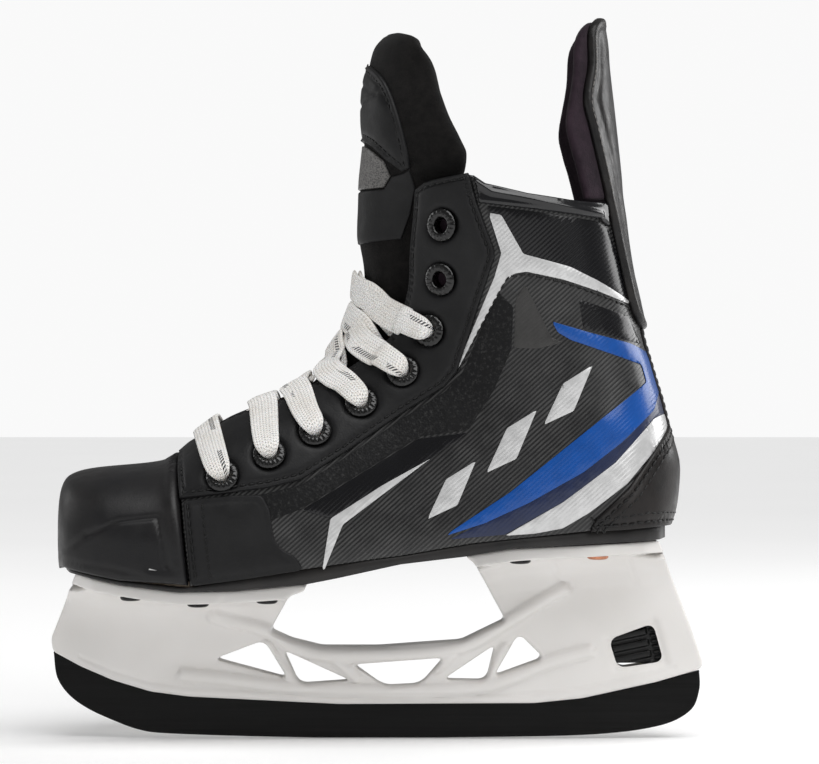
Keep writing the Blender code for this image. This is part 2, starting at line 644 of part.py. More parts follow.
# ---------------------------------------------------------------- holder, rivets, runner, trigger

HOLDER_FOOT = [(-104, 28.1), (-95.1, 23.2), (-84.8, 18.7), (-72.6, 15), (-60.3, 13.4), (-44.2, 12.6), (-11.9, 11),
               (50.6, 11.3), (66.1, 12.9), (89.7, 18.1), (103.8, 22.3)]
HOLDER_OUTLINE = [(-104.5, 32.3), (-95.6, 53.9), (-80, 50.9), (-62.2, 48.7), (-44.2, 49.0), (-22.4, 50.8), (-22.3, 48.7),
                  (-27.4, 47.0), (-34.2, 34.8), (-27.6, 31.9), (-17.7, 29.5), (0.6, 29.5), (27.1, 31.4), (41.2, 38.2),
                  (31, 57.2), (28.7, 58.8), (28.7, 59.5), (42.8, 61.9), (88, 64.2), (89.8, 64.0), (100.6, 36.4), (104.8, 23.9)]
TRUSS_HOLES = [[(-50.8, 25.5), (-36.8, 30.3), (-30, 20)], [(-29, 27.7), (-9.7, 18.9), (-23.9, 18.5)],
               [(-6.3, 23.5), (20.3, 25.5), (12.7, 18.1), (3.5, 17.7)], [(37.1, 29.2), (34.1, 19.7), (22.6, 19.4)],
               [(45.5, 32.3), (52.2, 25.8), (38.7, 20.8)]]
# x, flange half-width, height of the flange's underside
FLANGE = [(-106, 20, 50.5), (-96, 24, 50), (-88, 29, 48.8), (-77, 31.5, 46.9), (-60, 32, 44.9), (-34, 30, 45.9),
          (-22, 27, 47), (0, 24, 52), (28, 22, 55.6), (45, 25, 58.2), (70, 25.5, 59.6), (86, 22, 60.3), (92, 18, 60.5), (106, 16, 61)]
RIVETS = [("front", -77.2, 25.5), ("front", -56.1, 26), ("front", -34.5, 24), ("rear", 45.5, 19), ("rear", 70.1, 19.5)]
RUNNER_EDGE = [(-104, 26.4), (-103, 19.5), (-99.3, 13.9), (-93.2, 9.4), (-84.8, 5.5), (-76.8, 2.6), (-68.4, 1.4),
               (-44.2, 0.5), (-20, 0.0), (20, 0.0), (66.1, 0.8), (89.7, 3.5), (100.6, 8.4), (103.8, 15.2), (103.8, 21.6)]
TRIGGER_WINDOW = [(74.5, 31.9), (88.7, 37.1), (92.1, 24.8), (77.4, 22.6)]


def flange_under(x):
    return blend_at(FLANGE, x)[1]


def make_rivet_holes():
    bm = bmesh.new()
    for _, x, y in RIVETS:
        for side in SIDES.values():
            place = Matrix.Translation(Vector((x, side * y, 57)) * MM)
            bmesh.ops.create_cone(bm, cap_ends=True, segments=8, radius1=(RIVET_SHANK_R + 0.5) * MM,
                                  radius2=(RIVET_SHANK_R + 0.5) * MM, depth=40 * MM, matrix=place)
    return add_object("rivet_holes", mesh_from("rivet_holes", bm), cutters)


def make_rivets():
    for number, (place, x, y) in enumerate(RIVETS):
        for word, side in SIDES.items():
            under = min(flange_under(x - RIVET_R), flange_under(x + RIVET_R)) - 0.5
            top = min(height_on(SOLE_TOP, x - 3), height_on(SOLE_TOP, x + 3)) - GAP
            row = number + 1 if place == "front" else number - 2
            name = f"rivet_{place}_{word}_{row}"
            profile = [(RIVET_R - 1.2, under - 1.6), (RIVET_R, under - 0.7), (RIVET_R, under - GAP),
                       (RIVET_SHANK_R, under - GAP), (RIVET_SHANK_R, top)]
            rings = []
            for r, h in profile:
                rings.append([(x + r * math.cos(a), side * y + r * math.sin(a), h)
                              for a in (2 * math.pi * i / 8 for i in range(8))])
            loft(name, rings, parts, "copper" if place == "rear" else "rivet_steel")


def holder_envelope():
    rings = []
    for x, half, under in FLANGE:
        side = [(4.3, 5), (4.6, 16), (5.6, 24), (7.2, under - 13), (9, under - 7), (12, under - 3), (half - 9.8, under - 0.4),
                (half - 1.2, under), (half, under + 0.9), (half, 80)]
        rings.append([(x, y, z) for y, z in side] + [(x, -y, z) for y, z in reversed(side)])
    return loft("holder_envelope", rings)


def runner_top(x):
    return height_on(HOLDER_FOOT, x) + RUNNER_INSERT


def make_holder(rivet_holes):
    outline = HOLDER_OUTLINE + list(reversed(HOLDER_FOOT))
    holder = slab("holder", outline, -60, 60, parts, "holder_nylon")
    boolean(holder, holder_envelope(), "INTERSECT")
    for number, hole in enumerate(TRUSS_HOLES, 1):
        boolean(holder, slab(f"truss_hole_{number}", hole, -30, 30), "DIFFERENCE")
    front, rear = INSERT_ENDS[0] - GAP, INSERT_ENDS[1] + GAP
    xs = [front] + [x for x, _ in HOLDER_FOOT if front < x < rear] + [rear]
    slot = [(front, -5)] + [(x, runner_top(x) + GAP) for x in xs] + [(rear, -5)]
    boolean(holder, slab("runner_slot", slot, -RUNNER_THICK / 2 - GAP, RUNNER_THICK / 2 + GAP), "DIFFERENCE")
    boolean(holder, rivet_holes, "DIFFERENCE")
    boolean(holder, slab("trigger_window", TRIGGER_WINDOW, -30, 30), "DIFFERENCE")
    cavity = [(73.2, 39), (97.5, 39), (97.5, 22.6), (73.2, 22.6)]
    boolean(holder, slab("trigger_cavity", cavity, -4.2, 4.2), "DIFFERENCE")


def make_runner():
    flat = RUNNER_EDGE.index((20, 0.0))
    edge = smooth_line(RUNNER_EDGE[:flat], 2) + smooth_line(RUNNER_EDGE[flat:], 2)
    front, rear = INSERT_ENDS
    xs = [rear] + [x for x, _ in reversed(HOLDER_FOOT) if front < x < rear] + [front]
    outline = edge + [(x, height_on(HOLDER_FOOT, x) - GAP) for x in (95.9, rear)]
    outline += [(x, runner_top(x)) for x in xs]
    outline.append((front, height_on(HOLDER_FOOT, front) - GAP))
    outline.append((-104, 27.7))
    slab("runner", outline, -RUNNER_THICK / 2, RUNNER_THICK / 2, parts, "runner_steel")


def make_trigger():
    body = [(73.6, 38.6), (92.6, 38.6), (92.6, 24.2), (73.6, 24.2)]
    trigger = slab("release_trigger", body, -3.9, 3.9, parts, "trigger_nylon")
    pocket = cylinder("spring_pocket", 2.7, (86, 0, 33.5), (95, 0, 33.5))
    boolean(trigger, pocket, "DIFFERENCE")
    turns, steps, radius = 4, 8, 1.9
    start, end = 86.8, 96.7
    coil = []
    for i in range(turns * steps + 1):
        a = 2 * math.pi * i / steps
        coil.append((start + (end - start) * i / (turns * steps), radius * math.cos(a), 33.5 + radius * math.sin(a)))
    tube("trigger_spring", coil, 0.35, "spring_steel", 0)


def main():
    rivet_holes = make_rivet_holes()
    make_boot()
    make_soles(rivet_holes)
    make_tendon_guard()
    make_tongue()
    make_lace()
    make_holder(rivet_holes)
    make_rivets()
    make_runner()
    make_trigger()


main()
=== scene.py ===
"""Looks of a youth hockey ice skate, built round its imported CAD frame.

Numbers in outlines and sizes are millimetres in the row frame: toe towards -X, heel towards +X, outer
side towards -Y, ice at Z 0. MM turns them to metres when a mesh is made.
"""
import math

import bmesh
import bpy
import numpy as np
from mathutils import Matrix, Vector
from mathutils.bvhtree import BVHTree
from mathutils.geometry import delaunay_2d_cdt
from mathutils.kdtree import KDTree


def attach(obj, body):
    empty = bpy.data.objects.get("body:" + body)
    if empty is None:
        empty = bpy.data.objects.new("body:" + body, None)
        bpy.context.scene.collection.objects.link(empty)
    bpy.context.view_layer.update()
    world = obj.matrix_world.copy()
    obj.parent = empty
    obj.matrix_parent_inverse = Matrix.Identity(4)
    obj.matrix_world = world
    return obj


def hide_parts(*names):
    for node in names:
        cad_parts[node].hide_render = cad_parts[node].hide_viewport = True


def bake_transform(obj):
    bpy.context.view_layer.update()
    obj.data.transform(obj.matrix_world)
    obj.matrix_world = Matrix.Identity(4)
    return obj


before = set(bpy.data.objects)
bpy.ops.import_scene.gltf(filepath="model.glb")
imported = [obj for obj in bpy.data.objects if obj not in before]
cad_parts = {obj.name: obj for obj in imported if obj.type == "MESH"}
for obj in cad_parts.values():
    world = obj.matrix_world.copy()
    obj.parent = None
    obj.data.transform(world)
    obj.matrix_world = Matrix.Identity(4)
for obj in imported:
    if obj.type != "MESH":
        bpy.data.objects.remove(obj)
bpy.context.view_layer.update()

MM = 0.001
GAP = 0.3
SIDES = {"left": -1, "right": 1}

# Layers of the boot wall, as distances outside (+) or inside (-) the boot surface
QUARTER = (-1.3, 0.0)
FACING = (0.02, 1.5)
TRIM = (0.02, 1.1)
COUNTER = (0.02, 1.2)
BACK_STRIP = (0.02, 0.95)
CAP = (-1.3, 1.5)
GUARD = (0.02, 1.9)
GUARD_LINER = (-2.6, -0.02)
LINER = (-3.9, -1.4)
PRINT = (0.0, 0.12)
BOARD_THICK = 2.0
FOOTBED_THICK = 3.5
FOOTBED_TOP = BOARD_THICK + GAP + FOOTBED_THICK
EYELET_R = 5.3
EYELET_HOLE_R = 2.3
EYELET_BARREL_R = 3.0
EYELET_CUT_R = 3.1        # hole in leather and shell round the barrel
LACE_WIDTH = 9.5
LACE_THICK = 1.5
RUNNER_THICK = 3.0
RUNNER_INSERT = 5.0
INSERT_ENDS = (-95.9, 92.2)
RIVET_R = 3.4

# ---------------------------------------------------------------- outlines (x, z), as in the part's source

FAN_PIVOT = (-57.0, 173.0)
TOP_LEVEL = 236.0
NOSE_X = -100.4
RIDGE = [(-100.4, 76), (-99.5, 81.5), (-97, 83.9), (-90, 85.5), (-72, 87.3), (-65, 89.5), (-58, 95),
         (-48.6, 102), (-41.6, 105.6), (-32.6, 109.3), (-20, 117.3), (-12, 123.8), (-3.5, 135), (1.5, 146),
         (4, 158), (5.6, 167), (6.4, 174), (7, 182), (8, 200), (10, 238)]
UNDERSIDE = [(-100.4, 62), (-98, 50.5), (-80, 46.8), (-59.3, 45), (-24.2, 50.5), (1, 54), (29.7, 58.5),
             (71, 62.7), (86, 63.6), (91.5, 66), (95, 74), (96.2, 83), (96.2, 89), (94.4, 95.8),
             (92.9, 102.2), (91.3, 108.7), (89.3, 115.1), (87.4, 121.6), (85.5, 128), (84.2, 134.5),
             (82.9, 141), (81.7, 147.4), (80.3, 154), (79.2, 160), (78.4, 166.7), (77.4, 174), (76.8, 182),
             (75, 199), (73.5, 212), (71.7, 228), (70.5, 238)]
SOLE_TOP = [(-99, 55.8), (-80, 52.2), (-59.3, 50), (-24.2, 55.5), (1, 59), (7.4, 59.7), (29.7, 63.5),
            (71, 67.7), (92.2, 68.9), (98, 69)]
SOLE_BOTTOM = [(-99, 54.8), (-96.1, 54.3), (-80, 51.2), (-62.2, 49), (-44.2, 49.3), (-22.6, 51.1),
               (-11.9, 53.2), (7.6, 57.4), (28.7, 59.8), (42.8, 62.2), (88, 64.5), (96, 64.9)]
COLLAR_EDGE = [(30.2, 179.3), (34.2, 176.7), (47.3, 173.6), (60.5, 171.7), (66, 171.3)]
FACING_BACK = [(28.9, 180), (29.7, 178.7), (31.8, 170.4), (37.1, 155.8), (37.1, 153.2), (25.6, 117.7),
               (21.6, 112.9), (7.9, 104.3), (-9, 92.7), (-23.3, 83.9), (-34.2, 81.3), (-60.7, 77.7)]
THROAT_CORNER = [(11.2, 170), (11.9, 173), (13.4, 175.6), (15.8, 177.4), (19, 178.3)]
GUARD_EDGE = [(71.9, 174.6), (69.7, 183.8), (67.1, 194.5), (65.1, 203.6), (66.8, 214.8), (67.1, 226.1),
              (71.3, 231.5), (74.5, 231)]
GUARD_LINER_EDGE = [(66, 174), (63.8, 182.5), (61.8, 189.1), (60.5, 197), (63.1, 211.6), (64.1, 223),
                    (68.5, 229), (73, 229)]
GUARD_BASE_EDGE = [(72.4, 172.1), (74.2, 164.8), (80, 140), (83, 133.4)]
BACK_STRIP_ENDS = [(93.5, 100.0), (86.0, 134.0)]
BACK_STRIP_HALF = 0.037   # in columns, from the middle line of the back
HEEL_COUNTER_EDGE = [(96.5, 102), (92.2, 99), (79, 80.8), (68.4, 71), (66.8, 66)]
TONGUE_CROWN = [(-57, 92.5), (-50, 97), (-38.5, 103), (-28, 108.8), (-20, 115), (-12.5, 123.5), (-8, 131),
                (-5.2, 139), (-4, 147), (-4.6, 154), (-5.8, 161), (-5.6, 170), (-5.2, 180), (-4, 192),
                (-3.6, 205), (-2.8, 214), (-0.8, 222), (3.4, 226.5)]
EYELETS = [(-47.7, 84.5), (-33.2, 91.3), (-19, 98.4), (-4.5, 107.4), (8.7, 117.4), (17.1, 130.6),
           (20.8, 146.9), (21.3, 163.8)]
LACED_ROWS = 6
LACE_CROSSINGS = [(-53.2, 98.7), (-36.1, 107.1), (-24.5, 114.8), (-12.5, 128), (-9.0, 136.5), (-7.1, 145.5)]

# Across the boot: station, outer half-width, inner half-width, top roundness, bottom roundness,
# height of the widest line (0 top, 1 bottom), sideways shift
WIDTHS = [(0.0, 9, 9, 2.4, 3.0, 0.50, 3.0), (0.08, 20, 20, 2.4, 3.2, 0.52, 3.0),
          (0.25, 30, 30.5, 2.4, 4.0, 0.55, 2.6), (0.55, 36.5, 37.5, 2.4, 5.0, 0.58, 2.0),
          (1.0, 38.5, 40, 2.3, 5.5, 0.62, 1.5), (1.17, 38.5, 39.5, 2.2, 6.5, 0.64, 1.0),
          (1.33, 35, 34.5, 2.1, 7.0, 0.62, 0.4), (1.48, 31.5, 31.5, 2.0, 7.0, 0.58, 0),
          (1.58, 31, 31, 2.0, 4.6, 0.55, 0), (1.65, 30.5, 30.5, 2.0, 2.8, 0.52, 0),
          (1.75, 31, 31, 2.0, 2.3, 0.5, 0), (1.88, 33.5, 33.5, 2.0, 2.2, 0.5, 0),
          (2.0, 34.5, 34.5, 2.0, 2.2, 0.5, 0), (2.3, 33, 33, 2.0, 2.2, 0.5, 0),
          (3.0, 28, 28, 2.0, 2.2, 0.5, 0)]
OPENING_HALF = [(-58, 0.2), (-57, 3), (-54.5, 8), (-51, 10.5), (-45, 12), (-20, 14.5), (0, 17.5), (6, 20),
                (20, 20)]
TONGUE_THICK = 6.5
# Height of the crown point, half-width, depth from crown to wing edge
TONGUE_SIZES = [(92, 6, 5), (97, 7.4, 7.5), (103, 8, 8.5), (115, 9.8, 11.5), (131, 12, 14), (147, 13, 16.5),
                (156, 13.8, 18), (165, 15.5, 22), (172, 17.5, 28), (180, 21, 33), (183, 24, 33.5),
                (186, 26, 32.5), (192, 27, 29.5), (199, 26.5, 26), (205, 25.5, 23.8), (212, 23, 21.5),
                (218, 19.5, 18), (223, 14, 12.5), (225.4, 9.5, 8), (226.5, 3.5, 2.5)]
HEEL_LOOP = [(36, 15.5), (44, 17), (54, 17.5), (64, 16.5), (73, 12.5), (79, 5.5), (80.5, -2), (77.5, -9),
             (70, -13.5), (60, -14.5), (50, -13), (40, -9), (30, -5.5), (18, -3.5), (6, -2), (-6, -1),
             (-18, -0.5), (-26, 0)]
TOE_LOOP = [(24, -16), (16, -17), (6, -17.5), (-6, -18), (-18, -18.5), (-30, -18.5), (-42, -17.5), (-51, -14),
            (-57.5, -7.5), (-60, 0), (-57.5, 7.5), (-51, 14), (-42, 17.5), (-30, 18.5), (-18, 18.5), (-6, 18),
            (6, 16), (16, 12.5), (25, 9)]
HOLDER_FOOT = [(-104, 28.1), (-95.1, 23.2), (-84.8, 18.7), (-72.6, 15), (-60.3, 13.4), (-44.2, 12.6),
               (-11.9, 11), (50.6, 11.3), (66.1, 12.9), (89.7, 18.1), (103.8, 22.3)]
RUNNER_EDGE = [(-104, 26.4), (-103, 19.5), (-99.3, 13.9), (-93.2, 9.4), (-84.8, 5.5), (-76.8, 2.6),
               (-68.4, 1.4), (-44.2, 0.5), (-20, 0.0), (20, 0.0), (66.1, 0.8), (89.7, 3.5), (100.6, 8.4),
               (103.8, 15.2), (103.8, 21.6)]
TRUSS_HOLES = [[(-50.8, 25.5), (-36.8, 30.3), (-30, 20)], [(-29, 27.7), (-9.7, 18.9), (-23.9, 18.5)],
               [(-6.3, 23.5), (20.3, 25.5), (12.7, 18.1),
                (3.5, 17.7)], [(37.1, 29.2), (34.1, 19.7), (22.6, 19.4)],
               [(45.5, 32.3), (52.2, 25.8), (38.7, 20.8)]]
TRIGGER_WINDOW = [(74.5, 31.9), (88.7, 37.1), (92.1, 24.8), (77.4, 22.6)]
# Least and greatest x, least and greatest z
TRIGGER_BODY = (73.6, 92.6, 24.2, 38.6)
TRIGGER_CAVITY = (73.2, 97.5, 22.6, 39.0)
# x, flange half-width, height of the flange's underside
FLANGE = [(-106, 12, 50.5), (-97, 14, 50.2), (-94, 20, 49.8), (-88, 29, 48.8), (-77, 31.5, 46.9),
          (-60, 32, 44.9), (-34, 30, 45.9), (-22, 26, 47), (0, 24, 52), (28, 21, 55.6), (45, 25, 58.2),
          (70, 25.5, 59.6), (84, 22, 60.3), (92, 16, 60.5), (106, 14, 61)]
RIVETS = [("front", -77.2, 25.5), ("front", -56.1, 26), ("front", -34.5, 24), ("rear", 45.5, 19),
          ("rear", 70.1, 19.5)]


def blend_at(table, key):
    """Straight interpolation of a table's columns at a key in its first column."""
    if key <= table[0][0]:
        return table[0][1:]
    for low, high in zip(table, table[1:]):
        if key <= high[0]:
            share = (key - low[0]) / (high[0] - low[0])
            return tuple(a + (b - a) * share for a, b in zip(low[1:], high[1:]))
    return table[-1][1:]


def smooth_table(table, keys):
    """Monotone cubic interpolation of a table's columns at an array of keys."""
    rows = np.array(table, float)
    x, y = rows[:, 0], rows[:, 1:]
    gap = np.diff(x)[:, None]
    rise = np.diff(y, axis=0) / gap
    slope = np.zeros_like(y)
    same = rise[:-1] * rise[1:] > 0
    slope[1:-1] = np.where(same, 2 * rise[:-1] * rise[1:] / np.where(same, rise[:-1] + rise[1:], 1), 0)
    slope[0], slope[-1] = rise[0], rise[-1]
    i = np.clip(np.searchsorted(x, keys) - 1, 0, len(x) - 2)
    t = ((keys - x[i]) / gap[i, 0])[:, None]
    return ((2 * t ** 3 - 3 * t ** 2 + 1) * y[i] + (t ** 3 - 2 * t ** 2 + t) * gap[i] * slope[i]
            + (3 * t ** 2 - 2 * t ** 3) * y[i + 1] + (t ** 3 - t ** 2) * gap[i] * slope[i + 1])


def smooth_line(points, steps=6):
    """Catmull-Rom curve through points of any dimension, with steps pieces between each two."""
    padded = [points[0]] + list(points) + [points[-1]]
    out = []
    for a, b, c, d in zip(padded, padded[1:], padded[2:], padded[3:]):
        for i in range(steps):
            t = i / steps
            out.append(tuple(
                0.5 * (2 * q + (r - p) * t + (2 * p - 5 * q + 4 * r - s) * t * t
                       + (3 * q - p - 3 * r + s) * t ** 3)
                for p, q, r, s in zip(a, b, c, d)))
    out.append(tuple(points[-1]))
    return out


def height_on(outline, x):
    """Height of an outline at x."""
    return blend_at(outline, x)[0]


def crossing(line, origin, direction, last=False):
    """Where a ray in the side view meets a line: its first or last crossing."""
    (ax, az), (bx, bz) = line[:-1].T, line[1:].T
    ex, ez = bx - ax, bz - az
    det = direction[0] * -ez + ex * direction[1]
    det = np.where(np.abs(det) < 1e-9, 1e-9, det)
    along = ((ax - origin[0]) * -ez + ex * (az - origin[1])) / det
    share = (direction[0] * (az - origin[1]) - direction[1] * (ax - origin[0])) / det
    hits = np.nonzero((share >= -1e-6) & (share <= 1 + 1e-6) & (along > 0))[0]
    best = hits[np.argmax(along[hits]) if last else np.argmin(along[hits])]
    return np.array([ax[best] + ex[best] * share[best], az[best] + ez[best] * share[best]])


def dense(outline, step=0.7, closed=True):
    """An outline with a point at least every step millimetres."""
    points = [np.array(p, float) for p in outline]
    if closed:
        points.append(points[0])
    out = []
    for a, b in zip(points, points[1:]):
        count = max(1, int(np.ceil(np.linalg.norm(b - a) / step)))
        out += [a + (b - a) * i / count for i in range(count)]
    if not closed:
        out.append(points[-1])
    return np.array(out)


def rounded(outline, radius=1.5, times=3):
    """A closed outline with its corners cut back and rounded."""
    points = [np.array(p, float) for p in outline]
    for _ in range(times):
        out = []
        for a, b in zip(points, points[1:] + points[:1]):
            cut = min(0.3, radius / max(np.linalg.norm(b - a), 1e-6))
            out += [a + (b - a) * cut, b - (b - a) * cut]
        points = out
        radius *= 0.5
    return points


def grown(outline, reach):
    """A closed outline whose corners are moved away from its middle."""
    points = np.array(outline, float)
    away = points - points.mean(axis=0)
    return points + away * reach / np.linalg.norm(away, axis=1, keepdims=True)


def inside(points, polygon):
    """Which points lie inside a closed polygon."""
    x, y = points.T
    result = np.zeros(len(points), bool)
    for (ax, ay), (bx, by) in zip(polygon, np.roll(polygon, -1, axis=0)):
        if ay != by:
            result ^= ((ay > y) != (by > y)) & (x < (bx - ax) * (y - ay) / (by - ay) + ax)
    return result


def unit(vectors):
    """Vectors at length 1; those of no length stay as they are."""
    return vectors / np.maximum(np.linalg.norm(vectors, axis=-1, keepdims=True), 1e-12)


def walked_along(points):
    """Distance walked from the first point of a line to each of its points."""
    return np.concatenate([[0], np.cumsum(np.linalg.norm(np.diff(points, axis=0), axis=1))])


def numbered(rows, columns, start=0):
    """Numbers of the points of a grid, row by row."""
    return start + np.arange(rows * columns).reshape(rows, columns)


def quads(index, closed=False):
    """Faces between neighbouring rows and columns of point numbers; closed joins last column to first."""
    if closed:
        index = np.column_stack([index, index[:, 0]])
    corners = [index[:-1, :-1], index[:-1, 1:], index[1:, 1:], index[1:, :-1]]
    return np.stack(corners, axis=-1).reshape(-1, 4).tolist()


# ---------------------------------------------------------------- surfaces read from dense grids

class Sheet:
    """A smooth surface read from a grid of points: rows at even steps of a, columns at even steps of b."""

    def __init__(self, points, a_ends, b_ends, scale, closed=False, outward=None):
        self.points, self.scale, self.closed = points, scale, closed
        self.a_ends, self.b_ends = a_ends, b_ends
        wide = np.concatenate([points[:, -1:], points, points[:, :1]], axis=1) if closed else points
        along, across = np.gradient(wide, axis=0), np.gradient(wide, axis=1)
        if closed:
            along, across = along[:, 1:-1], across[:, 1:-1]
        normals = unit(np.cross(along, across))
        if outward is not None and (normals * outward).sum() < 0:
            normals = -normals
        self.normals = normals

    def read(self, grid, a, b):
        rows, columns = grid.shape[:2]
        i = (a - self.a_ends[0]) / (self.a_ends[1] - self.a_ends[0]) * (rows - 1)
        spans = columns if self.closed else columns - 1
        j = (b - self.b_ends[0]) / (self.b_ends[1] - self.b_ends[0]) * spans
        i = np.clip(i, 0, rows - 1.000001)
        j = j % columns if self.closed else np.clip(j, 0, columns - 1.000001)
        i0, j0 = np.floor(i).astype(int), np.floor(j).astype(int)
        j1 = (j0 + 1) % columns
        fi, fj = (i - i0)[..., None], (j - j0)[..., None]
        return ((grid[i0, j0] * (1 - fj) + grid[i0, j1] * fj) * (1 - fi)
                + (grid[i0 + 1, j0] * (1 - fj) + grid[i0 + 1, j1] * fj) * fi)

    def at(self, ab, offset=0.0):
        normal = unit(self.read(self.normals, ab[..., 0], ab[..., 1]))
        return self.read(self.points, ab[..., 0], ab[..., 1]) + normal * np.asarray(offset)[..., None], normal

    def to_plane(self, ab):
        return ab * self.scale

    def from_plane(self, flat):
        return flat / self.scale


class Dome(Sheet):
    """The same surface laid flat round its pole, where a is least and b runs from -1 to 1 round it."""

    def to_plane(self, ab):
        reach = (ab[..., 0] - self.a_ends[0]) * self.scale[0]
        return np.stack([reach * np.cos(math.pi * ab[..., 1]), reach * np.sin(math.pi * ab[..., 1])], axis=-1)

    def from_plane(self, flat):
        reach = np.hypot(flat[..., 0], flat[..., 1])
        turn = np.arctan2(flat[..., 1], flat[..., 0]) / math.pi
        return np.stack([reach / self.scale[0] + self.a_ends[0], turn], axis=-1)


NOSE_STEPS = 12
STATION_STEPS = 110
HALF_COLUMNS = 300
NOSE_DEPTH = NOSE_STEPS / STATION_STEPS
RIDGE_LINE = np.array(smooth_line(RIDGE, 14))
UNDERSIDE_LINE = np.array(smooth_line(UNDERSIDE, 14))


def section_ends(station):
    """Top (or front) and bottom (or back) points of the boot's section at a station."""
    if station <= 1:
        x = NOSE_X + 0.02 + (FAN_PIVOT[0] - NOSE_X) * station ** 1.6
        return crossing(RIDGE_LINE, (x, 200), (0, -1)), crossing(UNDERSIDE_LINE, (x, 0), (0, 1))
    if station <= 2:
        angle = math.radians(-90 + 90 * (station - 1))
        ray = (math.cos(angle), math.sin(angle))
        return crossing(RIDGE_LINE, FAN_PIVOT, ray), crossing(UNDERSIDE_LINE, FAN_PIVOT, ray, last=True)
    z = FAN_PIVOT[1] + (TOP_LEVEL - FAN_PIVOT[1]) * (station - 2)
    return crossing(RIDGE_LINE, (-200, z), (1, 0)), crossing(UNDERSIDE_LINE, (200, z), (-1, 0))


def build_boot_grid():
    """Points of the boot surface, and on each side the level (0 top, 1 bottom) of every column."""
    stations = np.arange(3 * STATION_STEPS + 1) / STATION_STEPS
    widths = smooth_table(WIDTHS, stations)
    near = np.linspace(0, 1, 260) ** 3 * math.pi / 2
    turns = np.concatenate([math.pi / 2 - near[::-1], math.pi / 2 + near[1:]])
    c, s = np.cos(turns), np.abs(np.sin(turns))
    c[0], c[-1], s[0], s[-1] = 1, -1, 0, 0
    top = c >= 0
    even = np.linspace(0, 1, HALF_COLUMNS + 1)
    rows, levels = [], {-1: [], 1: []}
    for station, (outer, inner, top_n, bottom_n, middle, shift) in zip(stations, widths):
        front, back = section_ends(station)
        power = np.where(top, 2 / top_n, 2 / bottom_n)
        size = np.abs(c) ** power
        level = np.where(top, middle * (1 - size), middle + (1 - middle) * size)
        halves = []
        for side, half in ((-1, outer), (1, inner)):
            y = half * s ** power
            steps = np.hypot(np.diff(level) * np.linalg.norm(back - front), np.diff(y))
            walked = np.concatenate([[0], np.cumsum(steps)])
            here = np.interp(even, walked / walked[-1], level)
            levels[side].append(here)
            x, z = (front + (back - front) * here[:, None]).T
            halves.append(np.stack([x, shift + side * np.interp(even, walked / walked[-1], y), z], axis=1))
        rows.append(np.concatenate([halves[0][::-1], halves[1][1:-1]]))
    centre = rows[0].mean(axis=0)
    nose = []
    for i in range(NOSE_STEPS):
        share = (i + 0.02) / NOSE_STEPS
        ring = centre + (rows[0] - centre) * share
        ring[:, 0] -= 0.3 * (1 - share ** 2)
        nose.append(ring)
    return np.array(nose + rows), {side: np.array(found) for side, found in levels.items()}


boot_points, boot_levels = build_boot_grid()
outward = np.zeros_like(boot_points)
outward[..., 1] = boot_points[..., 1]
boot = Sheet(boot_points, (-NOSE_DEPTH, 3), (-1, 1), np.array([150.0, 120.0]), closed=True, outward=outward)
toe = Dome(boot_points, (-NOSE_DEPTH, 3), (-1, 1), np.array([50.0, 50.0]), closed=True, outward=outward)
TOP_COLUMN = HALF_COLUMNS
coarse_points = boot_points[::2, ::3]
surface_tree = BVHTree.FromPolygons(coarse_points.reshape(-1, 3).tolist(),
                                    quads(numbered(*coarse_points.shape[:2]), closed=True))


def station_of(x, z):
    """Station of side-view places: 0 to 1 along the toe, 1 to 2 round the fan pivot, 2 to 3 up the shaft."""
    nose = np.clip((x - NOSE_X - 0.02) / (FAN_PIVOT[0] - NOSE_X), 0, 1) ** (1 / 1.6)
    fan = 2 + np.degrees(np.arctan2(z - FAN_PIVOT[1], x - FAN_PIVOT[0])) / 90
    shaft = 2 + (z - FAN_PIVOT[1]) / (TOP_LEVEL - FAN_PIVOT[1])
    return np.where(x < FAN_PIVOT[0], nose, np.where(z <= FAN_PIVOT[1], fan, shaft))


def place(xz, side):
    """Station and column (0 top, side bottom) of side-view places; those off the boot go to its edge."""
    x, z = np.asarray(xz, float).T
    u = station_of(x, z)
    row = np.clip(u * STATION_STEPS, 0, 3 * STATION_STEPS - 1e-6)
    low = row.astype(int)
    share = (row - low)[:, None]
    front = boot.read(boot.points, u, np.zeros_like(u))[:, [0, 2]]
    back = boot.read(boot.points, u, np.ones_like(u))[:, [0, 2]]
    run = back - front
    level = np.clip(((np.stack([x, z], 1) - front) * run).sum(1) / (run ** 2).sum(1), 0, 1)
    rows = boot_levels[side][low] * (1 - share) + boot_levels[side][low + 1] * share
    even = np.linspace(0, 1, HALF_COLUMNS + 1)
    return np.stack([u, side * np.array([np.interp(v, r, even) for v, r in zip(level, rows)])], axis=1)


def opening_half(x):
    """Half-width of the slot between the facings at x."""
    return blend_at(OPENING_HALF, x)[0]


def build_opening():
    """For each station and side, the column where the slot between the facings ends."""
    near = HALF_COLUMNS // 2
    found = {}
    for side in (-1, 1):
        edges = []
        for row in boot_points[NOSE_STEPS:]:
            columns = row[TOP_COLUMN::side] if side > 0 else row[TOP_COLUMN::-1]
            half = opening_half(row[TOP_COLUMN][0])
            reach = np.maximum.accumulate(np.abs(columns[:near, 1]))
            edges.append(np.interp(half, reach, np.arange(near) / HALF_COLUMNS))
        found[side] = np.array(edges)
    return found


slot_edges = build_opening()


def keep_off_slot(ab, side):
    """Moves places that lie in the slot between the facings to its edge."""
    edge = np.interp(ab[:, 0], np.arange(3 * STATION_STEPS + 1) / STATION_STEPS, slot_edges[side])
    ab[:, 1] = side * np.maximum(np.abs(ab[:, 1]), edge)
    return ab


# ---------------------------------------------------------------- materials

paints = {}


